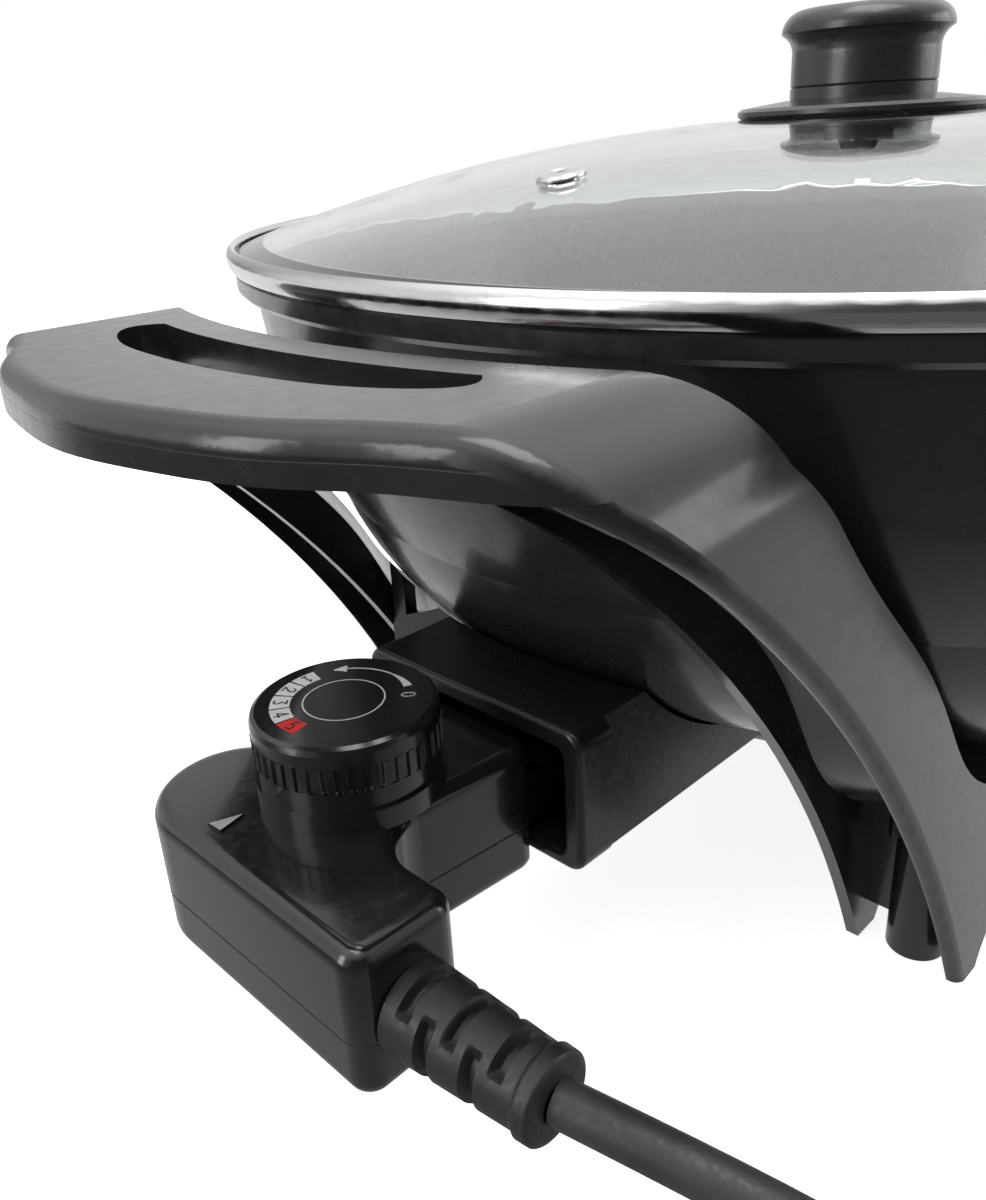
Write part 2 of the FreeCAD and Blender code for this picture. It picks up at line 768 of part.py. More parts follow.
def arch_form(label, inset, top, reach, floor, opening=True):
    """Front view of loop and legs: outer arch, less the opening under it, drawn in Y and Z."""
    flat = loop_flat_half
    round_out = shoulder_radius - inset
    foot = foot_half - inset
    inner = leg_inner_half + inset
    inner_top = leg_top_inner_half + inset
    crown = handle_top - handle_skirt - (2.0 if inset else 0.0)
    drop = round_out * (1 - math.cos(math.radians(45)))
    shoulder = top - round_out
    item = body(label)
    under = [
        (inner, floor), (inner_top, crown - 14.0),
        ("arc", (inner_top - 4.1, crown - 4.1), (inner_top - 14.0, crown)),
        (-inner_top + 14.0, crown),
        ("arc", (-inner_top + 4.1, crown - 4.1), (-inner_top, crown - 14.0)),
        (-inner, floor),
    ]
    edges = loop(
        (-foot, floor), (-flat - round_out, shoulder),
        ("arc", (-flat - round_out + drop, top - drop), (-flat, top)),
        (flat, top),
        ("arc", (flat + round_out - drop, top - drop), (flat + round_out, shoulder)),
        (foot, floor),
        *(under if opening else []),
    )
    raised(item, edges, -reach, 0.0, role="YZ_Plane")
    return item


def side_form(label):
    """Side view of one moulding: loop, leg and its half of the apron, drawn in X and Z."""
    item = body(label)
    edges = loop(
        (-handle_reach - 9, handle_top - handle_skirt),
        (-hip_reach - 7.0, handle_top - handle_skirt),
        ("arc", (-knee_reach - 2.8, knee_height - 1.8), (-foot_reach, 0.0)),
        (-foot_reach + foot_length, 0.0),
        ("arc", (-foot_reach + foot_length + 7.0, apron_bottom - 2.6), (-foot_reach + 32.0, apron_bottom)),
        (-apron_seam, apron_bottom),
        (-apron_seam, handle_top + 4.0),
        (-handle_reach - 9, handle_top + 4.0),
    )
    raised(item, edges, -foot_half - 12, foot_half + 12, role="XZ_Plane")
    return item


def saddle_form(label, out, top_out):
    """Hollow that keeps the mouldings clear of the bowl."""
    item = body(label)
    edges = loop(
        (0.0, handle_top + 10.0),
        (rim_radius + top_out, handle_top + 10.0),
        (rim_radius + top_out, handle_top - 12.0),
        ("curve", [
            (178.0 + out, 121.0), (168.5 + out, 108.0), (pan_waist_radius + saddle_gap_waist - 2.5 + out, 88.0),
            (138.0 + saddle_gap_waist + 1.0 + out, 73.5), (129.0 + saddle_gap_low + 1.5 + out, 60.0),
            (128.0 + out * 0.7, 48.0 - out * 0.7)]),
        ("curve", [(116.0 + out * 0.5, 39.0 - out), (104.0, 33.5 - out), (92.0, apron_top + 0.5 - out)]),
        (0.0, apron_top - out),
    )
    revolved(item, edges)
    return item


def rounded_edges(label, base, radius, chosen):
    """Rounds the edges of a shape whose middle passes the test."""
    doc.recompute()
    item = doc.addObject("Part::Fillet", label)
    item.Label = label
    item.Base = base
    item.Edges = [(number, radius, radius) for number, edge in enumerate(base.Shape.Edges, 1)
                  if chosen(edge.CenterOfMass, edge.BoundBox)]
    return item


def wall_crease(middle, bounds):
    return middle.x < -hip_reach + 20 and bounds.ZMax > 0


def leg_crease(middle, bounds):
    return middle.x < -foot_reach - 15 and abs(middle.y) > loop_flat_half + 10 and middle.z < shoulder_base


shoulder_base = handle_top - handle_skirt - 1.0
arch_reach = handle_reach + 9
arch_solid = arch_form("arch_solid", 0.0, handle_top, arch_reach, -1.0, opening=False)
loop_blank = overlap("loop_blank", arch_solid, plan_form("moulding_plan", 0.0, -2.0, handle_top + 2.0))
leg_blank = overlap("leg_blank", arch_solid, side_form("moulding_side"))
loop_round = rounded_edges("loop_round", loop_blank, crease_round, wall_crease)
leg_round = rounded_edges("leg_round", leg_blank, leg_round_radius, leg_crease)
outlined = overlap("moulding_outlined", overlap("moulding_round", loop_round, leg_round),
                   arch_form("moulding_arch", 0.0, handle_top, arch_reach, -1.0))
saddled = cut_from("moulding_saddled", outlined, saddle_form("saddle", 0.0, 0.0))
channel_arch = arch_form("channel_arch", handle_wall, handle_top - handle_wall, arch_reach, -2.0)
channel_open = overlap("channel_open", channel_arch,
                       plan_form("channel_plan", handle_wall, -4.0, handle_top))
channel = cut_from("channel", channel_open, saddle_form("channel_back", handle_wall, 11.0))


def hole_form(label, out):
    item = body(label)
    tip = hole_reach + out
    half = hole_half + out
    inner = hole_radius - out
    edge_x = math.sqrt(inner ** 2 - (half - 3.0) ** 2)
    edges = loop(
        (-edge_x, -half + 3.0),
        ("arc", (-inner, 0.0), (-edge_x, half - 3.0)),
        ("curve", [(-edge_x - 5.0, half), (-tip + 6.0, half - 9.0), (-tip + 1.2, half * 0.4), (-tip, 0.0),
                   (-tip + 1.2, -half * 0.4), (-tip + 6.0, -half + 9.0), (-edge_x - 5.0, -half),
                   (-edge_x, -half + 3.0)]),
    )
    raised(item, edges, handle_top - 30.0, handle_top + 5.0)
    return item


channel_round_hole = cut_from("channel_round_hole", channel, hole_form("hole_wall", handle_wall))
shelled = cut_from("moulding_shelled", saddled, channel_round_hole)
holed = cut_from("moulding_holed", shelled, hole_form("hand_hole", 0.0))


def leg_fittings(side):
    """Foot boss, rib and the arm that reaches in under the base cover."""
    name = "near" if side < 0 else "far"
    y = side * leg_boss_side
    boss = rod("boss_" + name, leg_boss_radius, (-leg_boss_reach, y, 0.0), (-leg_boss_reach, y, leg_boss_height))
    rib = box("rib_" + name, -leg_boss_reach - 3.0, min(y, side * (leg_inner_half + 1.0)), 8.0,
              -leg_boss_reach, max(y, side * (leg_inner_half + 1.0)), leg_boss_height)
    angle = math.degrees(math.atan2(side * leg_boss_side, -leg_boss_reach))
    reach = math.hypot(leg_boss_side, leg_boss_reach)
    arm = box("arm_" + name, 0.0, 0.0, 0.0, reach - arm_start, arm_width, arm_top - arm_bottom)
    turn = FreeCAD.Rotation(Vector(0, 0, 1), angle)
    start = turn.multVec(Vector(arm_start, -arm_width / 2, arm_bottom))
    arm.Placement = FreeCAD.Placement(start, turn)
    return [boss, rib, arm]


near_fittings = leg_fittings(-1)
far_fittings = leg_fittings(1)
moulding_joined = joined("moulding_joined", holed, *near_fittings, *far_fittings)
trimmed = overlap("moulding_trimmed", moulding_joined, joined(
    "moulding_reach",
    side_form("moulding_side_trim"),
    box("arm_reach", -118.0, -foot_half, arm_bottom - 1, -apron_seam, foot_half, arm_top + 1)))


def cover_clearance(label, gap):
    item = body(label)
    low = cover_radius - cover_taper + gap
    revolved(item, loop(
        (0, cover_bottom - 4), (low, cover_bottom - 4), (low, cover_bottom + 3.0),
        (cover_radius + gap, cover_top), (cover_radius + gap, cover_top + 2), (0, cover_top + 2)))
    return item


cleared = cut_from("moulding_cleared", trimmed, cover_clearance("cover_space", 0.0))
plug_holes = joined(
    "foot_plug_holes",
    rod("plug_hole_near", foot_plug_radius, (-leg_boss_reach, -leg_boss_side, -1.0),
        (-leg_boss_reach, -leg_boss_side, foot_plug_depth)),
    rod("plug_hole_far", foot_plug_radius, (-leg_boss_reach, leg_boss_side, -1.0),
        (-leg_boss_reach, leg_boss_side, foot_plug_depth)))

plug_a = rod("foot_plug_a", foot_plug_radius, (-leg_boss_reach, -leg_boss_side, 0.0),
             (-leg_boss_reach, -leg_boss_side, foot_plug_depth))
plug_b = mirrored("foot_plug_b", plug_a, Vector(0, 1, 0))
plug_c = mirrored("foot_plug_c", plug_a, Vector(1, 0, 0))
plug_d = mirrored("foot_plug_d", plug_b, Vector(1, 0, 0))
keep(group("foot_plugs", plug_a, plug_b, plug_c, plug_d))

# ---------------------------------------------------------------- cover fixings
stud_foot = cover_bottom - nut_height - 1.0
keep(rod("pan_stud", stud_radius, (0, 0, stud_foot), (0, 0, pan_floor_height)))
nut = body("cover_nut")
nut_corner = nut_across / math.sqrt(3)
corners = [(nut_corner * math.cos(math.radians(60 * k)), nut_corner * math.sin(math.radians(60 * k)))
           for k in range(6)]
raised(nut, loop(*corners) + ring(0, 0, stud_radius + screw_fit), cover_bottom - nut_height, cover_bottom)
keep(nut)

arm_angle = math.degrees(math.atan2(leg_boss_side, leg_boss_reach))
screw_height = (arm_top + arm_bottom) / 2
wall_slope = cover_taper / (cover_top - cover_bottom - 3.0)
head_low = screw_height - arm_screw_head
screw_start = cover_radius - wall_slope * (cover_top - head_low) - cover_wall - 0.4


def arm_rod(name, radius, start, end, turn):
    """Radial cylinder at screw height, in the direction of one arm."""
    along = math.cos(math.radians(turn))
    across = math.sin(math.radians(turn))
    return rod(name, radius, (start * along, start * across, screw_height), (end * along, end * across, screw_height))


arm_turns = [arm_angle, 180 - arm_angle, 180 + arm_angle, -arm_angle]
cover_screws = []
cover_holes = [rod("stud_hole", stud_radius + screw_fit, (0, 0, cover_bottom - 1), (0, 0, cover_bottom + 8))]
for number, turn in enumerate(arm_turns):
    shank = arm_rod("shank_%d" % number, arm_screw_radius, screw_start, screw_start + arm_screw_length, turn)
    head = arm_rod("head_%d" % number, arm_screw_head, screw_start - 2.0, screw_start, turn)
    cover_screws.append(joined("cover_screw_%d" % number, shank, head))
    cover_holes.append(arm_rod("screw_hole_%d" % number, arm_screw_radius + screw_fit,
                               screw_start - 3, screw_start + arm_screw_length + 0.5, turn))
keep(group("cover_screws", *cover_screws))
hole_set = joined("cover_hole_set", *cover_holes)
moulding_holes = joined("moulding_holes", plug_holes, hole_set)
keep(cut_from("handle_left", cleared, moulding_holes))
keep(mirrored("handle_right", pieces[-1], Vector(1, 0, 0)))
keep(cut_from("base_cover", cover, hole_set))

# ---------------------------------------------------------------- socket housing
bowl_space = body("bowl_space")
revolved(bowl_space, loop(
    (0, pan_lip_top + 20),
    (pan_mouth_radius + bowl_gap, pan_lip_top + 20),
    (pan_mouth_radius + bowl_gap, pan_lip_bottom),
    *bowl_outline(bowl_gap),
    (0, pan_floor_height - bowl_gap),
))
skirt_space = rod("skirt_space", skirt_radius + skirt_flare + running_gap,
                  (0, 0, cover_top - running_gap), (0, 0, pan_floor_height + 1))
core_space = joined("core_space", bowl_space, skirt_space, cover_clearance("cover_space_wide", running_gap))
housing_back = housing_front - bezel_depth
housing_block = box("housing_block", -housing_back, -housing_half, housing_bottom,
                    -cover_radius + 6, housing_half, housing_top)
web = body("housing_web")
leg_face = leg_inner_half + (leg_top_inner_half - leg_inner_half) * web_end_top / handle_top - running_gap
raised(web, loop(
    (housing_half - 1, web_low), (leg_face, web_low), (leg_face, web_end_top),
    (housing_half + 3, housing_top), (housing_half - 1, housing_top),
), -web_reach - web_sheet / 2, -web_reach + web_sheet / 2, role="YZ_Plane")
post = box("bowl_post", -web_reach - web_sheet / 2, leg_face - 1 - post_width, web_low,
           -web_reach + web_sheet / 2, leg_face - 1, post_height)
housing_inner = box("housing_inner", -housing_front, -housing_half + housing_wall, housing_bottom + housing_wall,
                    -cover_radius + 7, housing_half - housing_wall, housing_top - housing_wall)
housing_solid = joined("housing_solid", housing_block, web, post)
housing_open = cut_from("housing_open", housing_solid, housing_inner)
keep(cut_from("socket_housing", housing_open, core_space))



def rounded(item, feature, radius, axis, *levels):
    """Rounds the edges that lie flat at the given levels along one axis."""
    doc.recompute()
    names = []
    for number, edge in enumerate(feature.Shape.Edges, 1):
        places = [getattr(corner, axis) for corner in edge.Vertexes]
        if any(all(abs(place - level) < 1e-6 for place in places) for level in levels):
            names.append("Edge%d" % number)
    fillet = item.newObject("PartDesign::Fillet", item.Name + "_round")
    fillet.Base = (feature, names)
    fillet.Radius = radius
    bind(fillet, "Radius", radius)
    item.Tip = fillet
    return fillet


def soft_box(x0, y0, x1, y1, radius):
    """Outline of a rectangle with round corners."""
    cut = radius * (1 - math.cos(math.radians(45)))
    return loop(
        (x0 + radius, y0), (x1 - radius, y0), ("arc", (x1 - cut, y0 + cut), (x1, y0 + radius)),
        (x1, y1 - radius), ("arc", (x1 - cut, y1 - cut), (x1 - radius, y1)),
        (x0 + radius, y1), ("arc", (x0 + cut, y1 - cut), (x0, y1 - radius)),
        (x0, y0 + radius), ("arc", (x0 + cut, y0 + cut), (x0 + radius, y0)))


bezel = body("bezel_ring")
mouth_half = bezel_half - bezel_side_lip
bezel_pad = raised(bezel, soft_box(-bezel_half, housing_bottom, bezel_half, bezel_top, bezel_corner)
                   + soft_box(-mouth_half, housing_bottom + bezel_low_lip, mouth_half, bezel_top - bezel_top_lip,
                              bezel_corner / 2),
                   -housing_front, -housing_back, role="YZ_Plane")
rounded(bezel, bezel_pad, bezel_edge, "X", -housing_front)
keyway = box("bezel_keyway", -housing_front - 1, -keyway_half, housing_bottom + housing_wall,
             -housing_back + 1, keyway_half, housing_bottom + bezel_low_lip + 2)
keep(cut_from("socket_bezel", bezel, keyway))

# ---------------------------------------------------------------- thermostat case
arm_side = lead_arm_width - head_left
half_turn = math.cos(math.radians(45))


def head_outline(inset):
    """Plan of the thermostat: round far end, neck to the socket and an arm for the lead."""
    left = inset - head_left
    end = inset - lead_arm_end
    right = -head_right - inset
    big = head_round_radius - inset
    centre_x = head_round_radius - head_left
    small = neck_fillet + inset
    angle = math.asin((neck_root + neck_fillet - head_round_side) / (head_round_radius + neck_fillet))
    fillet_x = centre_x + (head_round_radius + neck_fillet) * math.cos(angle)
    fillet_y = neck_root + neck_fillet
    middle = math.atan2(1 + math.sin(angle), math.cos(angle))
    corner = neck_corner - inset
    corner_cut = corner * (1 - half_turn)
    end_half = neck_end - inset
    under = arm_fillet + inset
    under_x = arm_side + arm_fillet
    under_y = -neck_root - arm_fillet
    tip = arm_corner - inset
    tip_cut = tip * (1 - half_turn)
    arm = arm_side - inset
    return loop(
        (left, end + tip), (left, head_round_side),
        ("arc", (centre_x - big * half_turn, head_round_side + big * half_turn),
         (centre_x + big * math.cos(angle), head_round_side + big * math.sin(angle))),
        ("arc", (fillet_x - small * math.cos(middle), fillet_y - small * math.sin(middle)),
         (fillet_x, fillet_y - small)),
        (right - corner, end_half), ("arc", (right - corner_cut, end_half - corner_cut), (right, end_half - corner)),
        (right, corner - end_half), ("arc", (right - corner_cut, corner_cut - end_half), (right - corner, -end_half)),
        (under_x, under_y + under),
        ("arc", (under_x - under * half_turn, under_y + under * half_turn), (under_x - under, under_y)),
        (arm, end + tip), ("arc", (arm - tip_cut, end + tip_cut), (arm - tip, end)),
        (left + tip, end), ("arc", (left + tip_cut, end + tip_cut), (left, end + tip)),
    )


case_blank = body("case_blank")
case_pad = raised(case_blank, head_outline(0.0), head_bottom, head_top)
rounded(case_blank, case_pad, case_edge, "Z", head_bottom, head_top)
case_step = box("case_step", -head_step, -neck_end - 1, head_bottom - 1, -head_right + 1, neck_end + 1, head_step_top)
case_stepped = cut_from("case_stepped", case_blank, case_step)
case_space = body("case_space")
raised(case_space, head_outline(head_wall), head_bottom + head_wall, head_top - head_wall)
cavity_step = box("cavity_step", -head_step - head_wall, -neck_end, head_bottom, -head_right + 1, neck_end,
                  head_step_top + head_wall)
case_cavity = cut_from("case_cavity", case_space, cavity_step)
nose_blank = box("nose_blank", -head_step - 1, -nose_half, heater_axis - nose_drop,
                 -nose_end, nose_half, heater_axis + nose_rise)
nose_cavity = box("nose_cavity", -head_step - 4, -nose_half + nose_wall, heater_axis - nose_drop + nose_wall,
                  -nose_end - nose_wall, nose_half - nose_wall, heater_axis + nose_rise - nose_wall)
collar = body("dial_collar", dial_x)
revolved(collar, loop(
    (0, head_top - head_wall - 6), (bearing_radius, head_top - head_wall - 6),
    (bearing_radius, head_top - 0.5), (collar_foot_radius, head_top - 0.5),
    (collar_foot_radius, head_top + collar_foot_height), (collar_radius, head_top + collar_foot_height),
    (collar_radius, head_top + collar_height), (collar_radius - dial_wall, head_top + collar_height),
    (collar_radius - dial_wall, head_top), (bearing_radius, head_top),
    (bearing_radius, head_top + collar_height - 2), (0, head_top + collar_height - 2),
))
pointer = body("case_pointer")
raised(pointer, loop((-211.3, 6.2), (-217.6, 8.8), (-217.4, 4.8)), head_top - 0.5, head_top + 0.4)
neck_screw_x = -head_right - 16.5
neck_screw_y = neck_root - 5.6
screw_spots = [(-head_left + 15.8, head_round_side + 3.6), (neck_screw_x, neck_screw_y),
               (neck_screw_x, -neck_screw_y), (-head_left + 10.0, -lead_arm_end + 11.0)]
bosses = [rod("case_boss_%d" % k, case_boss_radius, (x, y, head_bottom + 1), (x, y, head_top - 1))
          for k, (x, y) in enumerate(screw_spots)]
bores = [rod("case_bore_%d" % k, case_screw_radius + screw_fit, (x, y, head_bottom - 1), (x, y, head_top - 5))
         for k, (x, y) in enumerate(screw_spots)]
sinks = [rod("case_sink_%d" % k, case_screw_head + 0.2, (x, y, head_bottom - 1),
             (x, y, head_bottom + case_screw_sink)) for k, (x, y) in enumerate(screw_spots)]
relief_x = -head_left + lead_arm_width / 2
relief_turn = 3.5
case_holes = joined(
    "case_holes",
    rod("spindle_bore", spindle_radius + spindle_fit, (dial_x, 0, head_top - 14), (dial_x, 0, head_top + 10)),
    rod("nose_bore_near", pin_radius + 0.4, (-nose_end - 3, -pin_half, heater_axis), (-nose_end + 1, -pin_half, heater_axis)),
    rod("nose_bore_far", pin_radius + 0.4, (-nose_end - 3, pin_half, heater_axis), (-nose_end + 1, pin_half, heater_axis)),
    rod("nose_bore_probe", probe_radius + probe_fit, (-nose_end - 3, 0, heater_axis), (-nose_end + 1, 0, heater_axis)),
    rod("relief_bore", relief_neck + running_gap, (relief_x, -lead_arm_end + 4, relief_height),
        (relief_x, -lead_arm_end - 2, relief_height)),
    *bores, *sinks)
case_hollow = cut_from("case_hollow", joined("case_skin", case_stepped, nose_blank),
                       joined("case_inside", case_cavity, nose_cavity))
case_whole = cut_from("case_whole", joined("case_fitted", case_hollow, collar, pointer, *bosses), case_holes)
upper_half = box("upper_half", -head_left - 5, -lead_arm_end - 5, heater_axis, -nose_end + 5, head_left / 4, head_top + 12)
lower_half = box("lower_half", -head_left - 5, -lead_arm_end - 5, head_bottom - 5, -nose_end + 5, head_left / 4, heater_axis)
keep(overlap("case_top", case_whole, upper_half))
keep(overlap("case_bottom", case_whole, lower_half))

case_screws = []
for k, (x, y) in enumerate(screw_spots):
    shank = rod("case_shank_%d" % k, case_screw_radius, (x, y, head_bottom + 1), (x, y, head_top - 6))
    head = rod("case_screw_head_%d" % k, case_screw_head, (x, y, head_bottom + 0.3),
               (x, y, head_bottom + case_screw_sink))
    case_screws.append(joined("case_screw_%d" % k, shank, head))
keep(group("case_screws", *case_screws))


def sleeve(name, side):
    """Spring contact that grips one power pin, with its stem through the ceramic block."""
    barrel = rod(name + "_barrel", sleeve_radius, (-block_front, side, heater_axis), (-sleeve_start, side, heater_axis))
    bore = rod(name + "_bore", pin_radius + sleeve_fit, (-block_front + 0.6, side, heater_axis),
               (-sleeve_start + 1, side, heater_axis))
    stem = rod(name + "_stem", stem_radius, (-block_front - block_length - 3, side, heater_axis),
               (-block_front + 0.3, side, heater_axis))
    return joined(name, cut_from(name + "_tube", barrel, bore), stem)


keep(group("plug_contacts", sleeve("contact_near", -pin_half), sleeve("contact_far", pin_half)))
block = box("block_solid", -block_front - block_length, -block_half, heater_axis - block_height / 2,
            -block_front, block_half, heater_axis + block_height / 2)
block_bores = joined(
    "block_bores",
    rod("stem_bore_near", stem_radius + screw_fit, (-block_front - block_length - 1, -pin_half, heater_axis),
        (-block_front + 1, -pin_half, heater_axis)),
    rod("stem_bore_far", stem_radius + screw_fit, (-block_front - block_length - 1, pin_half, heater_axis),
        (-block_front + 1, pin_half, heater_axis)),
    rod("probe_bore", probe_radius + screw_fit, (-block_front - block_length - 1, 0, heater_axis),
        (-block_front + 1, 0, heater_axis)))
keep(cut_from("contact_block", block, block_bores))
keep(rod("thermostat_probe", probe_radius, (-probe_root, 0, heater_axis), (-probe_tip, 0, heater_axis)))

# ---------------------------------------------------------------- switch inside the case
switch_floor = head_bottom + head_wall
switch_right = -probe_root - 1
keep(box("switch_block", switch_right - switch_width, -switch_width / 2, switch_floor,
         switch_right, switch_width / 2, switch_floor + switch_height))
keep(box("contact_blade", switch_right - blade_length, -blade_width / 2, switch_floor + switch_height,
         switch_right, blade_width / 2, switch_floor + switch_height + blade_sheet))
keep(box("bimetal_strip", -probe_root - blade_length, -blade_width / 2, heater_axis - blade_sheet / 2,
         -probe_root, blade_width / 2, heater_axis + blade_sheet / 2))

# ---------------------------------------------------------------- dial
knob_body = body("dial_skin", dial_x)
teeth = []
for k in range(flute_count):
    step = 360.0 / flute_count
    for share, depth in ((0.0, 0.0), (0.45, 0.0), (0.6, flute_depth), (0.85, flute_depth)):
        angle = math.radians(step * (k + share))
        reach = float(dial_radius - depth)
        teeth.append((reach * math.cos(angle), reach * math.sin(angle)))
cap_base = dial_top - 1.6
flute_top = dial_skirt + flute_height
raised(knob_body, loop(*teeth), dial_skirt, flute_top)
rim = dial_radius - 0.15
revolved(knob_body, loop(
    (0, flute_top - 1), (dial_radius - flute_depth, flute_top - 1), (dial_radius - flute_depth, flute_top),
    (rim, flute_top), (rim, cap_base), (rim - 0.4, cap_base + 1.1), (rim - 1.2, dial_top),
    (dial_face_radius + screw_fit, dial_top), (dial_face_radius + screw_fit, dial_top - dial_face_sheet),
    (0, dial_top - dial_face_sheet)))
revolved(knob_body, loop(
    (bearing_radius + 0.6, dial_skirt - 1), (dial_radius - dial_wall, dial_skirt - 1),
    (dial_radius - dial_wall, cap_base - 1), (bearing_radius + 0.6, cap_base - 1)), cut=True)
spindle_hole = rod("spindle_hole", spindle_radius + screw_fit, (dial_x, 0, dial_skirt - 2),
                   (dial_x, 0, dial_top - 2.5))
keep(cut_from("dial_knob", knob_body, spindle_hole))
face = body("dial_face", dial_x)
raised(face, ring(0, 0, dial_face_radius), dial_top - dial_face_sheet, dial_top)
keep(face)
keep(rod("dial_spindle", spindle_radius, (dial_x, 0, spindle_foot), (dial_x, 0, dial_top - 2.5)))

# ---------------------------------------------------------------- lead
relief = body("cord_relief")
relief_way = Vector(math.sin(math.radians(relief_turn)), -math.cos(math.radians(relief_turn)), 0)
relief.Placement = FreeCAD.Placement(Vector(relief_x, -lead_arm_end - 0.55, relief_height),
                                     FreeCAD.Rotation(Vector(0, 0, 1), relief_way))
slope = (relief_root_radius - relief_end_radius) / relief_length
rings = []
for k in range(5):
    start = 4.6 + 4.4 * k
    radius = relief_root_radius - slope * start
    rings += [(radius, start), (radius - relief_groove, start), (radius - relief_groove - slope, start + 1.7),
              (radius - slope * 1.7, start + 1.7)]
revolved(relief, loop(
    (0, -4.6), (relief_neck + 1.3, -4.6), (relief_neck + 1.3, -3.3), (relief_neck - 0.2, -3.3),
    (relief_neck - 0.2, 0), (relief_root_radius, 0), *rings, (relief_end_radius, relief_length - 0.8),
    (relief_end_radius - 0.8, relief_length), (0, relief_length)))
keep(relief)

cord_start = relief.Placement.Base + relief_way * relief_length
cord_points = [cord_start] + [Vector(*p) for p in (
    (-203.9, -95.5, 43.8), (-194.6, -119.5, 36.0), (-183.8, -142.5, 22.5), (-172.0, -164.5, 10.0),
    (-160.0, -184.5, 5.2), (-148.5, -203.7, 4.4))]
# The lead leaves the relief at an angle, so it starts inside and is trimmed by the relief's end.
lead_way = cord_points[1] - cord_start
lead_way.normalize()
cord_points[0] = cord_start - lead_way * 0.8


def rope(points):
    """Straight runs joined by tangent arcs that use 0.45 of the shorter run."""
    edges = []
    here = points[0]
    for k in range(1, len(points) - 1):
        back = points[k - 1] - points[k]
        ahead = points[k + 1] - points[k]
        turn = math.pi - back.getAngle(ahead)
        reach = 0.45 * min(back.Length, ahead.Length)
        radius = reach / math.tan(turn / 2)
        back.normalize()
        ahead.normalize()
        first = points[k] + back * reach
        last = points[k] + ahead * reach
        inward = back + ahead
        inward.normalize()
        centre = points[k] + inward * math.hypot(radius, reach)
        edges.append(Part.LineSegment(here, first).toShape())
        edges.append(Part.Arc(first, centre - inward * radius, last).toShape())
        print("cord bend %d radius %.0f" % (k, radius))
        here = last
    edges.append(Part.LineSegment(here, points[-1]).toShape())
    return Part.Wire(edges)


route = rope(cord_points)
section = Part.Wire([Part.Circle(cord_points[0], cord_points[1] - cord_points[0], cord_diameter / 2).toShape()])
cord = doc.addObject("Part::Feature", "cord_run")
cord.Label = "cord_run"
cord.Shape = route.makePipeShell([section], True, False)
cord.Placement = FreeCAD.Placement()
print("cord length %.1f volume ratio %.4f" % (
    route.Length, cord.Shape.Volume / (route.Length * math.pi * (cord_diameter / 2) ** 2)))
keep(cut_from("cord_tube", cord, relief))

coil_x = -176.4
coil_y = -243.0
coil = body("cord_coil", coil_x, coil_y)
edge = 3.0
revolved(coil, loop(
    (coil_inner + edge, 0), (coil_outer - edge, 0),
    ("arc", (coil_outer - edge * 0.293, edge * 0.293), (coil_outer, edge)), (coil_outer, coil_height - edge),
    ("arc", (coil_outer - edge * 0.293, coil_height - edge * 0.293), (coil_outer - edge, coil_height)),
    (coil_inner + edge, coil_height),
    ("arc", (coil_inner + edge * 0.293, coil_height - edge * 0.293), (coil_inner, coil_height - edge)),
    (coil_inner, edge), ("arc", (coil_inner + edge * 0.293, edge * 0.293), (coil_inner + edge, 0))))
keep(coil)

mains_x = coil_x - 38.0
mains_y = coil_y - coil_outer + cord_diameter / 2
mains = body("mains_plug_body", mains_x, mains_y, 0, 180)
half = mains_width / 2
mains_pad = raised(mains, loop(
    (0, -mains_sleeve_radius - 1), ("curve", [(6, -half * 0.55), (16, -half * 0.88), (24, -half)]),
    (mains_length, -half), (mains_length, half), (24, half),
    ("curve", [(16, half * 0.88), (6, half * 0.55), (0, mains_sleeve_radius + 1)])), 0, mains_height)
rounded(mains, mains_pad, 3.0, "Z", 0, mains_height)
mains_sleeve = rod("mains_sleeve", mains_sleeve_radius, (mains_x - 2, mains_y, mains_height / 2),
                   (mains_x + mains_sleeve_length, mains_y, mains_height / 2))
keep(joined("mains_plug", mains, mains_sleeve))
prongs = [rod("prong_%d" % k, mains_pin_radius,
              (mains_x - mains_length, mains_y + side * mains_pin_spacing / 2, mains_height / 2),
              (mains_x - mains_length - mains_pin_length, mains_y + side * mains_pin_spacing / 2, mains_height / 2))
          for k, side in enumerate((-1, 1))]
keep(group("mains_pins", *prongs))

doc.recompute()
os.makedirs("parts", exist_ok=True)
faults = 0
for item in doc.Objects:
    states = list(item.State)
    if "Invalid" in states or "Error" in states:
        print("fault", item.Name, states)
        faults += 1
for item in pieces:
    shape = item.Shape
    solids = shape.Solids
    good = shape.isValid() and solids and all(s.Volume > 0 for s in solids)
    print("%-18s solids %d volume %10.1f valid %s" % (item.Label, len(solids), shape.Volume, bool(good)))
    if not good:
        faults += 1
    shape.exportStep("parts/%s.step" % item.Label)
print("pieces", len(pieces), "faults", faults)
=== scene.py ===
import bpy
import bmesh
import math
from mathutils import Matrix, Vector


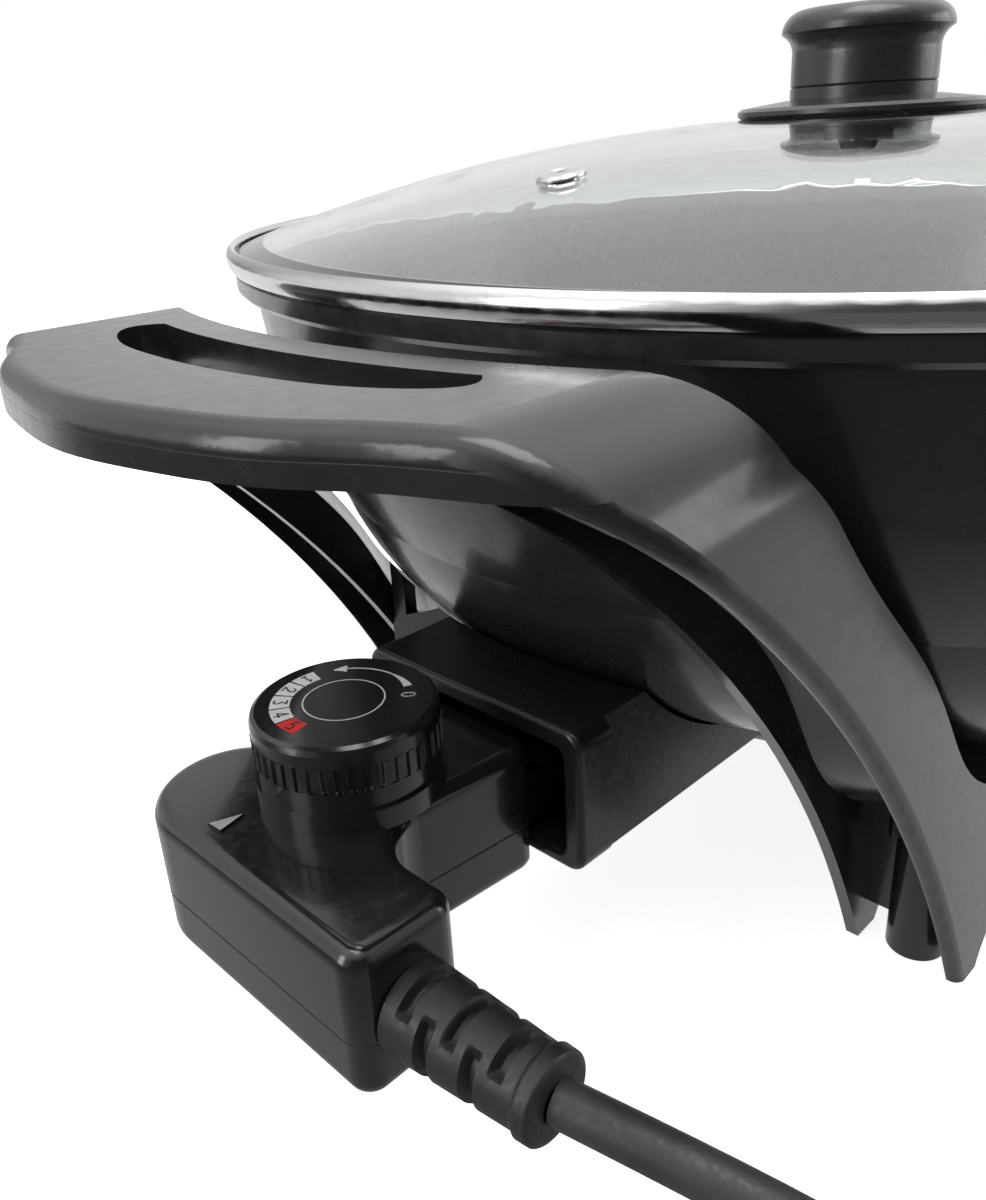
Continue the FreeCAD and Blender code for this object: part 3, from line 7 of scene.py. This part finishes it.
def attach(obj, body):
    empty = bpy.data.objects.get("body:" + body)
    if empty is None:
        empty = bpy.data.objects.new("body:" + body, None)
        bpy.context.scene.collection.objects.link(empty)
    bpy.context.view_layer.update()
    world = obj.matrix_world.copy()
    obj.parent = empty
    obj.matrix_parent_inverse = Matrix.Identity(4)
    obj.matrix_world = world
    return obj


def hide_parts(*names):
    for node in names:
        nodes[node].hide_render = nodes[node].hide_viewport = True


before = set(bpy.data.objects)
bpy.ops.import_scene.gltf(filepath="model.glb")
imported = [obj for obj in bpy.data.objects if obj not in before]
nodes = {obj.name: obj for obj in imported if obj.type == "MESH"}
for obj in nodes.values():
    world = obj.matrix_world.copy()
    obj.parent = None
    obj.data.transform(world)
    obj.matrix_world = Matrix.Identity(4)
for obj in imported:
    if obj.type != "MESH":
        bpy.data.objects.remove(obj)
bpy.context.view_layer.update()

scene = bpy.context.scene
scene.view_settings.view_transform = "Standard"

# ------------------------------------------------------------ viewpoint
# A hand-height view from beside the thermostat, low over the table and close,
# so that one handle and its near leg fill the frame.
eye = Vector((-0.29296, -0.15063, 0.17883))
yaw = math.radians(45.96)
pitch = math.radians(23.65)
roll = -0.05716
ahead = Vector((
    math.cos(pitch) * math.cos(yaw), math.cos(pitch) * math.sin(yaw), -math.sin(pitch)))
level = Vector((math.sin(yaw), -math.cos(yaw), 0))
upright = level.cross(ahead)
right = math.cos(roll) * level + math.sin(roll) * upright
up = math.cos(roll) * upright - math.sin(roll) * level
camera = bpy.data.objects.new("camera", bpy.data.cameras.new("camera"))
camera.matrix_world = Matrix((
    (right.x, up.x, -ahead.x, eye.x),
    (right.y, up.y, -ahead.y, eye.y),
    (right.z, up.z, -ahead.z, eye.z),
    (0, 0, 0, 1)))
camera.data.lens = 31.84
camera.data.sensor_width = 36
camera.data.shift_x = -0.0019
camera.data.shift_y = -0.0073
camera.data.clip_start = 0.01
scene.collection.objects.link(camera)
scene.camera = camera


# ------------------------------------------------------------ material helpers
class Sum:
    """One shader socket, with arithmetic that adds Math nodes."""

    def __init__(self, tree, socket):
        self.tree = tree
        self.socket = socket

    def make(self, kind, inputs, out=0, **settings):
        """A new node fed from sockets or plain values; returns one of its outputs."""
        node = self.tree.nodes.new(kind)
        for key, value in settings.items():
            setattr(node, key, value)
        for name, value in inputs.items():
            if isinstance(value, Sum):
                self.tree.links.new(value.socket, node.inputs[name])
            else:
                node.inputs[name].default_value = value
        return Sum(self.tree, node.outputs[out])

    def math(self, operation, other=None):
        inputs = {0: self}
        if other is not None:
            inputs[1] = other
        return self.make("ShaderNodeMath", inputs, operation=operation)

    def __add__(self, other):
        return self.math("ADD", other)

    __radd__ = __add__

    def __mul__(self, other):
        return self.math("MULTIPLY", other)

    def __sub__(self, other):
        return self.math("SUBTRACT", other)

    def __rsub__(self, other):
        return self.make("ShaderNodeMath", {0: other, 1: self}, operation="SUBTRACT")

    def band(self, low, high):
        """0 below low, 1 above high, smooth between."""
        return self.make("ShaderNodeMapRange", {"Value": self, "From Min": low, "From Max": high},
                         interpolation_type="SMOOTHSTEP", clamp=True)

    def noise(self, scale, detail):
        return self.make("ShaderNodeTexNoise", {"Vector": self, "Scale": scale, "Detail": detail})

    def axis(self, name):
        return self.make("ShaderNodeSeparateXYZ", {0: self}, out="XYZ".index(name))

    def along(self, direction):
        """How far a ray's direction, or a place, lies along a given direction."""
        return self.make("ShaderNodeVectorMath", {0: self, 1: direction}, 1, operation="DOT_PRODUCT")

    def seam(self, middle, half):
        """0 at the middle of a fine groove, 1 outside it."""
        flat_share = 0.4
        return (self - middle).math("ABSOLUTE").band(half * flat_share, half)


def finish(name, color, roughness, metallic=0.0, **sockets):
    """A principled material; returns it with its object coordinates and its shader."""
    material = bpy.data.materials.new(name)
    material.use_nodes = True
    tree = material.node_tree
    shader = tree.nodes["Principled BSDF"]
    shader.inputs["Base Color"].default_value = (*color, 1)
    shader.inputs["Roughness"].default_value = roughness
    shader.inputs["Metallic"].default_value = metallic
    for key, value in sockets.items():
        shader.inputs[key.replace("_", " ")].default_value = value
    place = tree.nodes.new("ShaderNodeTexCoord")
    return material, Sum(tree, place.outputs["Object"]), shader


def feed(shader, socket, value):
    value.tree.links.new(value.socket, shader.inputs[socket])


def tint(place, mask, first, second):
    """Colour that goes from one tone to another with a mask."""
    inputs = {"Factor": mask, "A": (*first, 1), "B": (*second, 1)}
    return place.make("ShaderNodeMix", inputs, 2, data_type="RGBA")


def relief(shader, height, depth):
    """Surface relief of the given depth in metres."""
    feed(shader, "Normal", height.make(
        "ShaderNodeBump", {"Height": height, "Strength": 1.0, "Distance": depth}))


def dress(material, *names):
    for name in names:
        mesh = nodes[name].data
        mesh.materials.clear()
        mesh.materials.append(material)


def tone_mix(place, shader, first, second, scale):
    """Slow change of colour over the surface."""
    feed(shader, "Base Color", tint(place, place.noise(scale, 3).band(0.35, 0.65), first, second))


def gloss(place, shader, scale, detail, spread, least):
    """Uneven roughness, from least to least + spread."""
    feed(shader, "Roughness", place.noise(scale, detail).band(0.3, 0.7) * spread + least)


def piece(name, mesh, material):
    """A bmesh as an object of one material; frees the bmesh."""
    data = bpy.data.meshes.new(name)
    mesh.to_mesh(data)
    mesh.free()
    data.materials.append(material)
    item = bpy.data.objects.new(name, data)
    scene.collection.objects.link(item)
    return item


# ------------------------------------------------------------ mains lead
# A round rubber-jacketed lead leaves the thermostat, droops to the table and
# is put away in a neat coil with its moulded two-pin plug beside it.
jacket, place, shader = finish("lead_jacket", (0.028, 0.028, 0.03), 0.5)
tone_mix(place, shader, (0.024, 0.024, 0.026), (0.034, 0.034, 0.037), 60)
gloss(place, shader, 900, 3, 0.16, 0.42)
relief(shader, place.noise(1600, 2), 0.00006)

lead_diameter = 0.0076
coil_centre = Vector((-0.1764, -0.243, 0))
drop = [
    (-0.209319, -0.071494, 0.0444), (-0.2039, -0.0955, 0.0438), (-0.1946, -0.1195, 0.036),
    (-0.1838, -0.1425, 0.0225), (-0.172, -0.1645, 0.010), (-0.160, -0.1845, 0.0052),
    (-0.1485, -0.2037, 0.0044)]
turns = []
outer, inner, lower, upper = 0.0458, 0.0379, 0.0039, 0.0120
degrees_per_point = 22
for first, last, start_radius, end_radius, start_height, end_height in (
        (32, -262, outer, outer, 0.0042, lower), (-262, -322, outer, inner, lower, lower),
        (-322, -562, inner, inner, lower, lower), (-562, -622, inner, inner, lower, upper),
        (-622, -862, inner, inner, upper, upper), (-862, -922, inner, outer, upper, upper),
        (-922, -1166, outer, outer, upper, upper)):
    steps = max(2, round(abs(last - first) / degrees_per_point))
    for step in range(steps):
        share = step / steps
        angle = math.radians(first + (last - first) * share)
        radius = start_radius + (end_radius - start_radius) * share
        height = start_height + (end_height - start_height) * share
        spot = Vector((radius * math.cos(angle), radius * math.sin(angle), height))
        turns.append(coil_centre + spot)
tail = [(-0.1800, -0.2890, 0.0118), (-0.1900, -0.2892, 0.0104), (-0.2004, -0.2892, 0.009)]
route = [Vector(point) for point in drop] + turns + [Vector(point) for point in tail]
curve = bpy.data.curves.new("lead", "CURVE")
curve.dimensions = "3D"
curve.bevel_depth = lead_diameter / 2
curve.bevel_resolution = 7
curve.resolution_u = 6
curve.use_fill_caps = True
spline = curve.splines.new("NURBS")
spline.points.add(len(route) - 1)
for point, spot in zip(spline.points, route):
    point.co = (*spot, 1)
spline.order_u = 3
spline.use_endpoint_u = True
lead = bpy.data.objects.new("lead", curve)
scene.collection.objects.link(lead)
curve.materials.append(jacket)
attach(lead, "thermostat")
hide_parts("cord_tube", "cord_coil")

plug_rubber, place, shader = finish("plug_rubber", (0.02, 0.02, 0.021), 0.45)
gloss(place, shader, 700, 3, 0.15, 0.38)
relief(shader, place.noise(1300, 2), 0.00008)
dress(plug_rubber, "mains_plug")
plated, place, shader = finish("plated_pin", (0.72, 0.71, 0.68), 0.2, 1.0)
gloss(place, shader, 500, 4, 0.2, 0.14)
dress(plated, "mains_pins", "power_pins")

# ------------------------------------------------------------ table and light
# A plain white table top runs on into a white room. The camera sees both as
# white. In the gloss of the wok the room is bright beyond it, overhead, on its
# left and on its right, and dim behind the viewer; three soft lamps add streaks.
table_glow = 0.84
table_dim, table_rise = 0.12, 0.80


def camera_rays(tree, path):
    """1 for what the camera sees directly or through glass."""
    through = Sum(tree, path.outputs["Is Transmission Ray"])
    return Sum(tree, path.outputs["Is Camera Ray"]).math("MAXIMUM", through)


table_white, place, shader = finish("table_white", (0.86, 0.86, 0.86), 0.6)
tree = table_white.node_tree
path = tree.nodes.new("ShaderNodeLightPath")
direct = camera_rays(tree, path)
mirrored = Sum(tree, path.outputs["Is Glossy Ray"])
glow = tree.nodes.new("ShaderNodeEmission")
tree.links.new((direct * table_glow).socket, glow.inputs["Strength"])
lit = tree.nodes.new("ShaderNodeAddShader")
tree.links.new(shader.outputs[0], lit.inputs[0])
tree.links.new(glow.outputs[0], lit.inputs[1])
dim = tree.nodes.new("ShaderNodeEmission")
far_side = place.along((0.85, 0.52, 0)).band(-0.34, 0.06)
tree.links.new((far_side * table_rise + table_dim).socket, dim.inputs["Strength"])
choice = tree.nodes.new("ShaderNodeMixShader")
tree.links.new(mirrored.socket, choice.inputs[0])
tree.links.new(lit.outputs[0], choice.inputs[1])
tree.links.new(dim.outputs[0], choice.inputs[2])
tree.links.new(choice.outputs[0], tree.nodes["Material Output"].inputs["Surface"])
sheet = bmesh.new()
bmesh.ops.create_circle(sheet, cap_ends=True, segments=64, radius=4.0)
table = piece("table", sheet, table_white)

world = bpy.data.worlds.new("room")
scene.world = world
world.use_nodes = True
tree = world.node_tree
path = tree.nodes.new("ShaderNodeLightPath")
sky = Sum(tree, tree.nodes.new("ShaderNodeTexCoord").outputs["Generated"])
beyond = sky.along((0.80, 0.50, 0.34)).band(0.55, 0.93)
right_wall = sky.along((0.80, -0.52, 0.28)).band(0.6, 0.95)
window = sky.along((-0.72, 0.62, 0.3)).band(0.35, 0.95)
overhead = sky.axis("Z").band(0.5, 1.0)
room = 0.07 + beyond * 0.82 + window * 0.8 + overhead * 1.3 + right_wall * 0.6
seen = camera_rays(tree, path)
tree.links.new((room * (1 - seen) + seen).socket, tree.nodes["Background"].inputs["Strength"])
tree.nodes["Background"].inputs["Color"].default_value = (1, 1, 1, 1)


def lamp(name, spot, aim, width, height, watts):
    light = bpy.data.lights.new(name, "AREA")
    light.shape = "RECTANGLE"
    light.size = width
    light.size_y = height
    light.energy = watts
    item = bpy.data.objects.new(name, light)
    item.location = spot
    item.rotation_euler = (Vector(aim) - Vector(spot)).to_track_quat("-Z", "Y").to_euler()
    scene.collection.objects.link(item)


lamp("overhead", (-0.1, -0.1, 1.5), (-0.1, 0, 0.1), 0.9, 0.9, 10)
lamp("left_window", (-1.4, 0.35, 0.55), (-0.2, 0, 0.06), 0.5, 0.9, 6)
lamp("right_window", (1.1, -0.95, 0.5), (-0.15, -0.08, 0.12), 1.0, 0.6, 4)

# ------------------------------------------------------------ pan
# A deep metal bowl with a rolled lip, coated dark inside and out with a
# satin non-stick finish.
coating, place, shader = finish(
    "pan_coating", (0.012, 0.012, 0.014), 0.28, Coat_Weight=0.4, Coat_Roughness=0.12)
tone_mix(place, shader, (0.010, 0.010, 0.012), (0.016, 0.0165, 0.019), 9)
gloss(place, shader, 240, 4, 0.08, 0.24)
relief(shader, place.noise(420, 3), 0.00004)
dress(coating, "pan")
dark_metal, place, shader = finish("skirt_metal", (0.02, 0.02, 0.022), 0.35, 0.6)
tone_mix(place, shader, (0.016, 0.016, 0.018), (0.03, 0.03, 0.033), 40)
dress(dark_metal, "heater_skirt")
cover_paint, place, shader = finish("cover_grey", (0.16, 0.165, 0.17), 0.42)
tone_mix(place, shader, (0.14, 0.145, 0.15), (0.19, 0.195, 0.2), 30)
relief(shader, place.noise(900, 2), 0.00006)
dress(cover_paint, "base_cover")

# ------------------------------------------------------------ heater and fixings
# A sheathed heating tube brazed under the pan, with nickel pins, ceramic
# beads, a cast guide for the probe and zinc-plated screws.
sheath, place, shader = finish("heater_sheath", (0.2, 0.19, 0.18), 0.42, 1.0)
tone_mix(place, shader, (0.13, 0.12, 0.12), (0.3, 0.27, 0.24), 50)
dress(sheath, "heater_tube")
steatite, place, shader = finish("steatite", (0.8, 0.78, 0.72), 0.6)
tone_mix(place, shader, (0.74, 0.71, 0.64), (0.84, 0.82, 0.77), 90)
dress(steatite, "pin_insulators", "contact_block", "switch_block")
cast_guide, place, shader = finish("cast_guide", (0.62, 0.62, 0.63), 0.38, 1.0)
relief(shader, place.noise(700, 3), 0.0001)
dress(cast_guide, "probe_guide")
zinc, place, shader = finish("zinc_steel", (0.6, 0.6, 0.61), 0.28, 1.0)
gloss(place, shader, 600, 3, 0.2, 0.2)
dress(zinc, "pan_stud", "cover_nut", "cover_screws", "case_screws", "lid_screw", "bimetal_strip",
      "dial_spindle")
ground, place, shader = finish("probe_steel", (0.62, 0.62, 0.63), 0.24, 1.0)
gloss(place, shader, 400, 3, 0.15, 0.18)
dress(ground, "thermostat_probe")
brass, place, shader = finish("brass", (0.72, 0.54, 0.24), 0.28, 1.0)
tone_mix(place, shader, (0.66, 0.48, 0.2), (0.76, 0.58, 0.28), 120)
dress(brass, "plug_contacts", "contact_blade", "lid_knob_insert")

# ------------------------------------------------------------ lid
# A shallow tempered-glass dome held in a rolled, polished steel band, with a
# plated steam eyelet and a moulded knob screwed through its centre.
glass, place, shader = finish(
    "lid_glass", (0.89, 0.925, 0.915), 0.0, IOR=1.5, Transmission_Weight=1.0)
dress(glass, "lid_glass")
steel, place, shader = finish("band_steel", (0.66, 0.66, 0.67), 0.16, 1.0)
gloss(place, shader, 300, 3, 0.08, 0.12)
dress(steel, "lid_band", "lid_vent")
phenolic, place, shader = finish(
    "knob_phenolic", (0.022, 0.019, 0.018), 0.3, Coat_Weight=0.3, Coat_Roughness=0.2)
gloss(place, shader, 500, 3, 0.1, 0.26)
relief(shader, place.noise(900, 2), 0.00004)
dress(phenolic, "lid_knob", "lid_knob_plate")
silicone, place, shader = finish("silicone", (0.55, 0.55, 0.53), 0.5)
dress(silicone, "lid_washer")

# ------------------------------------------------------------ side mouldings
# Two phenolic mouldings, each a carrying loop that turns down into two
# legs and half of each apron; a fine parting line runs round its outer edge.
moulded, place, shader = finish(
    "side_moulding", (0.012, 0.012, 0.013), 0.24, Coat_Weight=0.35, Coat_Roughness=0.1)
tone_mix(place, shader, (0.010, 0.010, 0.011), (0.014, 0.014, 0.0152), 14)
gloss(place, shader, 300, 4, 0.07, 0.21)
outside_hole = place.axis("X").math("ABSOLUTE").band(0.212, 0.2135)
split = place.axis("Z").seam(0.1427, 0.00022).math("MAXIMUM", 1 - outside_hole)
relief(shader, place.noise(260, 3) * 0.1 + split, 0.00025)
dress(moulded, "handle_left", "handle_right")
foot_rubber, place, shader = finish("foot_rubber", (0.03, 0.03, 0.03), 0.7)
dress(foot_rubber, "foot_plugs")
socket_black, place, shader = finish("socket_black", (0.010, 0.010, 0.011), 0.24)
gloss(place, shader, 400, 3, 0.08, 0.22)
relief(shader, place.noise(500, 2), 0.00003)
dress(socket_black, "socket_housing", "socket_bezel")

# ------------------------------------------------------------ thermostat
# A moulded plug-in control: a rounded head with an arm for the lead, split
# along its mid-height, under a fluted dial.
case_black, place, shader = finish(
    "case_black", (0.010, 0.0098, 0.0105), 0.2, Coat_Weight=0.5, Coat_Roughness=0.08)
tone_mix(place, shader, (0.009, 0.0088, 0.0095), (0.013, 0.0128, 0.0138), 30)
parting = place.axis("Z").seam(0.04205, 0.00032)
feed(shader, "Coat Weight", parting * 0.5)
uneven = place.noise(500, 3).band(0.3, 0.7) * 0.08
feed(shader, "Roughness", uneven + (1 - parting) * 0.7 + 0.16)
relief(shader, place.noise(620, 2) * 0.1 + parting, 0.0003)
dress(case_black, "case_top", "case_bottom")
knob_black, place, shader = finish(
    "dial_black", (0.009, 0.009, 0.0098), 0.2, Coat_Weight=0.4, Coat_Roughness=0.1)
gloss(place, shader, 700, 3, 0.08, 0.17)
relief(shader, place.noise(800, 2), 0.00002)
dress(knob_black, "dial_knob", "dial_face")

# ------------------------------------------------------------ dial print
# Pad-printed marks on the dial: numbered pale blocks with a red last one, a
# tapering arrow, a centre ring and a nought; and the pointer on the case.
dial_top = Vector((-0.1896, 0, 0.07903))
block_start, block_pitch, block_gap = 77.0, 23.2, 0.9
block_inner, block_outer = 0.0104, 0.0143
numeral_radius, numeral_height = 0.01235, 0.0026
nought_angle, nought_radius, nought_height = -42, 0.0125, 0.0027
ring_inner, ring_outer = 0.0078, 0.00808
arrow_radius, arrow_start, arrow_pitch, arrow_steps, head_step = 0.0128, -26, 3, 29, 25
tail_half, tail_taper, taper_steps, head_half = 0.00085, 0.00065, 9, 0.00125
numeral_lift, ink_half = 0.00003, 0.00001
pointer_corners = (
    (-0.2115, 0.0062, 0.06145), (-0.2174, 0.0086, 0.06145), (-0.2172, 0.0050, 0.06145))


def ray_at(angle):
    """Direction over the dial at an angle in degrees."""
    return Vector((math.cos(math.radians(angle)), math.sin(math.radians(angle)), 0))


def band_of(mesh, inner, outer, start, finish_angle, steps):
    """Flat ring sector about the dial's centre, in metres and degrees."""
    ray = ray_at(start)
    ends = [mesh.verts.new(dial_top + ray * inner), mesh.verts.new(dial_top + ray * outer)]
    line = mesh.edges.new(ends)
    bmesh.ops.spin(mesh, geom=[*ends, line], cent=dial_top, axis=(0, 0, 1), dvec=(0, 0, 0),
                   angle=math.radians(finish_angle - start), steps=steps, use_merge=False)
    mesh.normal_update()
    bmesh.ops.reverse_faces(mesh, faces=[
        face for face in mesh.faces
        if face.normal.z < 0 and abs(face.verts[0].co.z - dial_top.z) < 1e-7])


def stroke(mesh, start, end, width):
    """Flat bar between two points, just above the dial."""
    along = end - start
    turn = Matrix.Rotation(math.atan2(along.y, along.x), 4, "Z")
    stretch = Matrix.Diagonal((along.length / 2 + width / 2, width / 2, ink_half, 1))
    middle = (start + end) / 2 + Vector((0, 0, numeral_lift))
    bmesh.ops.create_cube(mesh, size=2, matrix=Matrix.Translation(middle) @ turn @ stretch)


# Each numeral's strokes, in shares of its height; it is 0.6 wide.
shapes = {
    "0": [(0.3, 0), (0.52, 0.15), (0.57, 0.5), (0.52, 0.85), (0.3, 1), (0.08, 0.85), (0.03, 0.5),
          (0.08, 0.15), (0.3, 0)],
    "1": [(0.12, 0.8), (0.3, 1), (0.3, 0), (0.12, 0), (0.48, 0)],
    "2": [(0.05, 0.78), (0.2, 1), (0.45, 1), (0.56, 0.8), (0.5, 0.55), (0.05, 0), (0.58, 0)],
    "3": [(0.08, 1), (0.54, 1), (0.28, 0.6), (0.5, 0.45), (0.54, 0.18), (0.35, 0), (0.05, 0.06)],
    "4": [(0.42, 0), (0.42, 1), (0.03, 0.3), (0.6, 0.3)],
    "5": [(0.55, 1), (0.14, 1), (0.08, 0.55), (0.38, 0.62), (0.56, 0.42), (0.5, 0.1), (0.3, 0), (0.05, 0.08)],
}


def numeral(mesh, sign, angle, radius, height):
    """One numeral that reads from outside the dial."""
    outward = ray_at(angle)
    sideways = Vector((-outward.y, outward.x, 0))
    middle_x, middle_y, stroke_share = 0.3, 0.5, 0.13
    spots = [
        dial_top + outward * (radius - (y - middle_y) * height) + sideways * (x - middle_x) * height
        for x, y in shapes[sign]]
    for first, last in zip(spots, spots[1:]):
        stroke(mesh, first, last, height * stroke_share)


def printed(name, mesh, color, body):
    """Pad-printed marks in one ink."""
    ink, place, shader = finish(name + "_ink", color, 0.45)
    tone_mix(place, shader, color, tuple(c * 0.9 for c in color), 500)
    item = piece(name, mesh, ink)
    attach(item, body)


blocks = bmesh.new()
red_block = bmesh.new()
numbers = bmesh.new()
for count in range(5):
    start = block_start + block_pitch * count
    band_of(red_block if count == 4 else blocks, block_inner, block_outer,
            start + block_gap, start + block_pitch - block_gap, 8)
    numeral(numbers, str(count + 1), start + block_pitch / 2, numeral_radius, numeral_height)
for step in range(arrow_steps):
    angle = arrow_start + arrow_pitch * step
    if step < head_step:
        half = tail_half - tail_taper * min(1, step / taper_steps)
    else:
        half = head_half * (arrow_steps - step) / (arrow_steps - head_step)
    band_of(blocks, arrow_radius - half, arrow_radius + half, angle, angle + arrow_pitch + 0.02, 1)
band_of(blocks, ring_inner, ring_outer, 0, 360, 72)
numeral(blocks, "0", nought_angle, nought_radius, nought_height)
printed("dial_marks", blocks, (0.62, 0.63, 0.64), "dial")
printed("dial_red", red_block, (0.62, 0.02, 0.02), "dial")
printed("dial_numbers", numbers, (0.03, 0.03, 0.035), "dial")
mark = bmesh.new()
mark_face = mark.faces.new([mark.verts.new(corner) for corner in pointer_corners])
mark_face.normal_update()
if mark_face.normal.z < 0:
    mark_face.normal_flip()
printed("case_mark", mark, (0.34, 0.35, 0.36), "thermostat")

# ------------------------------------------------------------ strain relief
# A tapered rubber sleeve on the lead, cut with staggered crescent slots so
# that it bends evenly, ending in a thicker ring.
relief_rubber, place, shader = finish("relief_rubber", (0.017, 0.017, 0.019), 0.5)
gloss(place, shader, 600, 3, 0.15, 0.42)
relief(shader, place.noise(1200, 2), 0.00006)
relief_base = Vector((-0.21115, -0.04155, 0.0444))
relief_length, level_pitch = 0.030, 0.00025
root_radius, taper = 0.0086, 0.0016
ring_start, ring_height, ring_slope = 0.0262, 0.0007, 0.0008
tip_start, tip_length, tip_round = 0.0292, 0.0008, 0.0014
slot_rows, first_slot, slot_pitch = 5, 0.0037, 0.0047
slot_half, slot_edge, slot_depth = 0.0009, 0.0005, 0.0021
relief_way = (Vector(drop[0]) - relief_base).normalized()
relief_side = Vector((0, 0, 1)).cross(relief_way).normalized()
sleeve = bmesh.new()
levels = [level_pitch * k for k in range(-2, 121)]
profile = [sleeve.verts.new(relief_base + relief_side * 0.004 + relief_way * levels[0])]
profile += [sleeve.verts.new(relief_base + relief_side * 0.008 + relief_way * level) for level in levels]
profile += [sleeve.verts.new(relief_base + relief_side * 0.0036 + relief_way * levels[-1])]
edges = [sleeve.edges.new(pair) for pair in zip(profile, profile[1:])]
bmesh.ops.spin(sleeve, geom=[*profile, *edges], cent=relief_base, axis=relief_way, dvec=(0, 0, 0),
               angle=math.tau, steps=72, use_merge=True)
for vertex in sleeve.verts:
    offset = vertex.co - relief_base
    level = offset.dot(relief_way)
    out = offset - relief_way * level
    if out.length < 0.006:  # the two end rims stay
        continue
    angle = math.atan2(out.dot(Vector((0, 0, 1))), out.dot(relief_side))
    radius = root_radius - taper * level / relief_length
    if level > ring_start:
        radius += ring_height * min(1, (level - ring_start) / ring_slope)
    if level > tip_start:
        radius -= tip_round * ((level - tip_start) / tip_length) ** 2
    for row in range(slot_rows):
        middle = first_slot + slot_pitch * row
        turn = math.cos(2 * angle + (0 if row % 2 else math.pi))
        across = 1 - min(1, max(0, (abs(level - middle) - slot_half) / slot_edge))
        around = min(1, max(0, (turn + 0.35) / 0.4))
        radius -= slot_depth * across * around
    vertex.co = relief_base + relief_way * level + out.normalized() * radius
bmesh.ops.recalc_face_normals(sleeve, faces=sleeve.faces)
strain_relief = piece("strain_relief", sleeve, relief_rubber)
strain_relief.data.shade_smooth()
strain_relief.data.set_sharp_from_angle(angle=math.radians(50))
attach(strain_relief, "thermostat")
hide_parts("cord_relief")
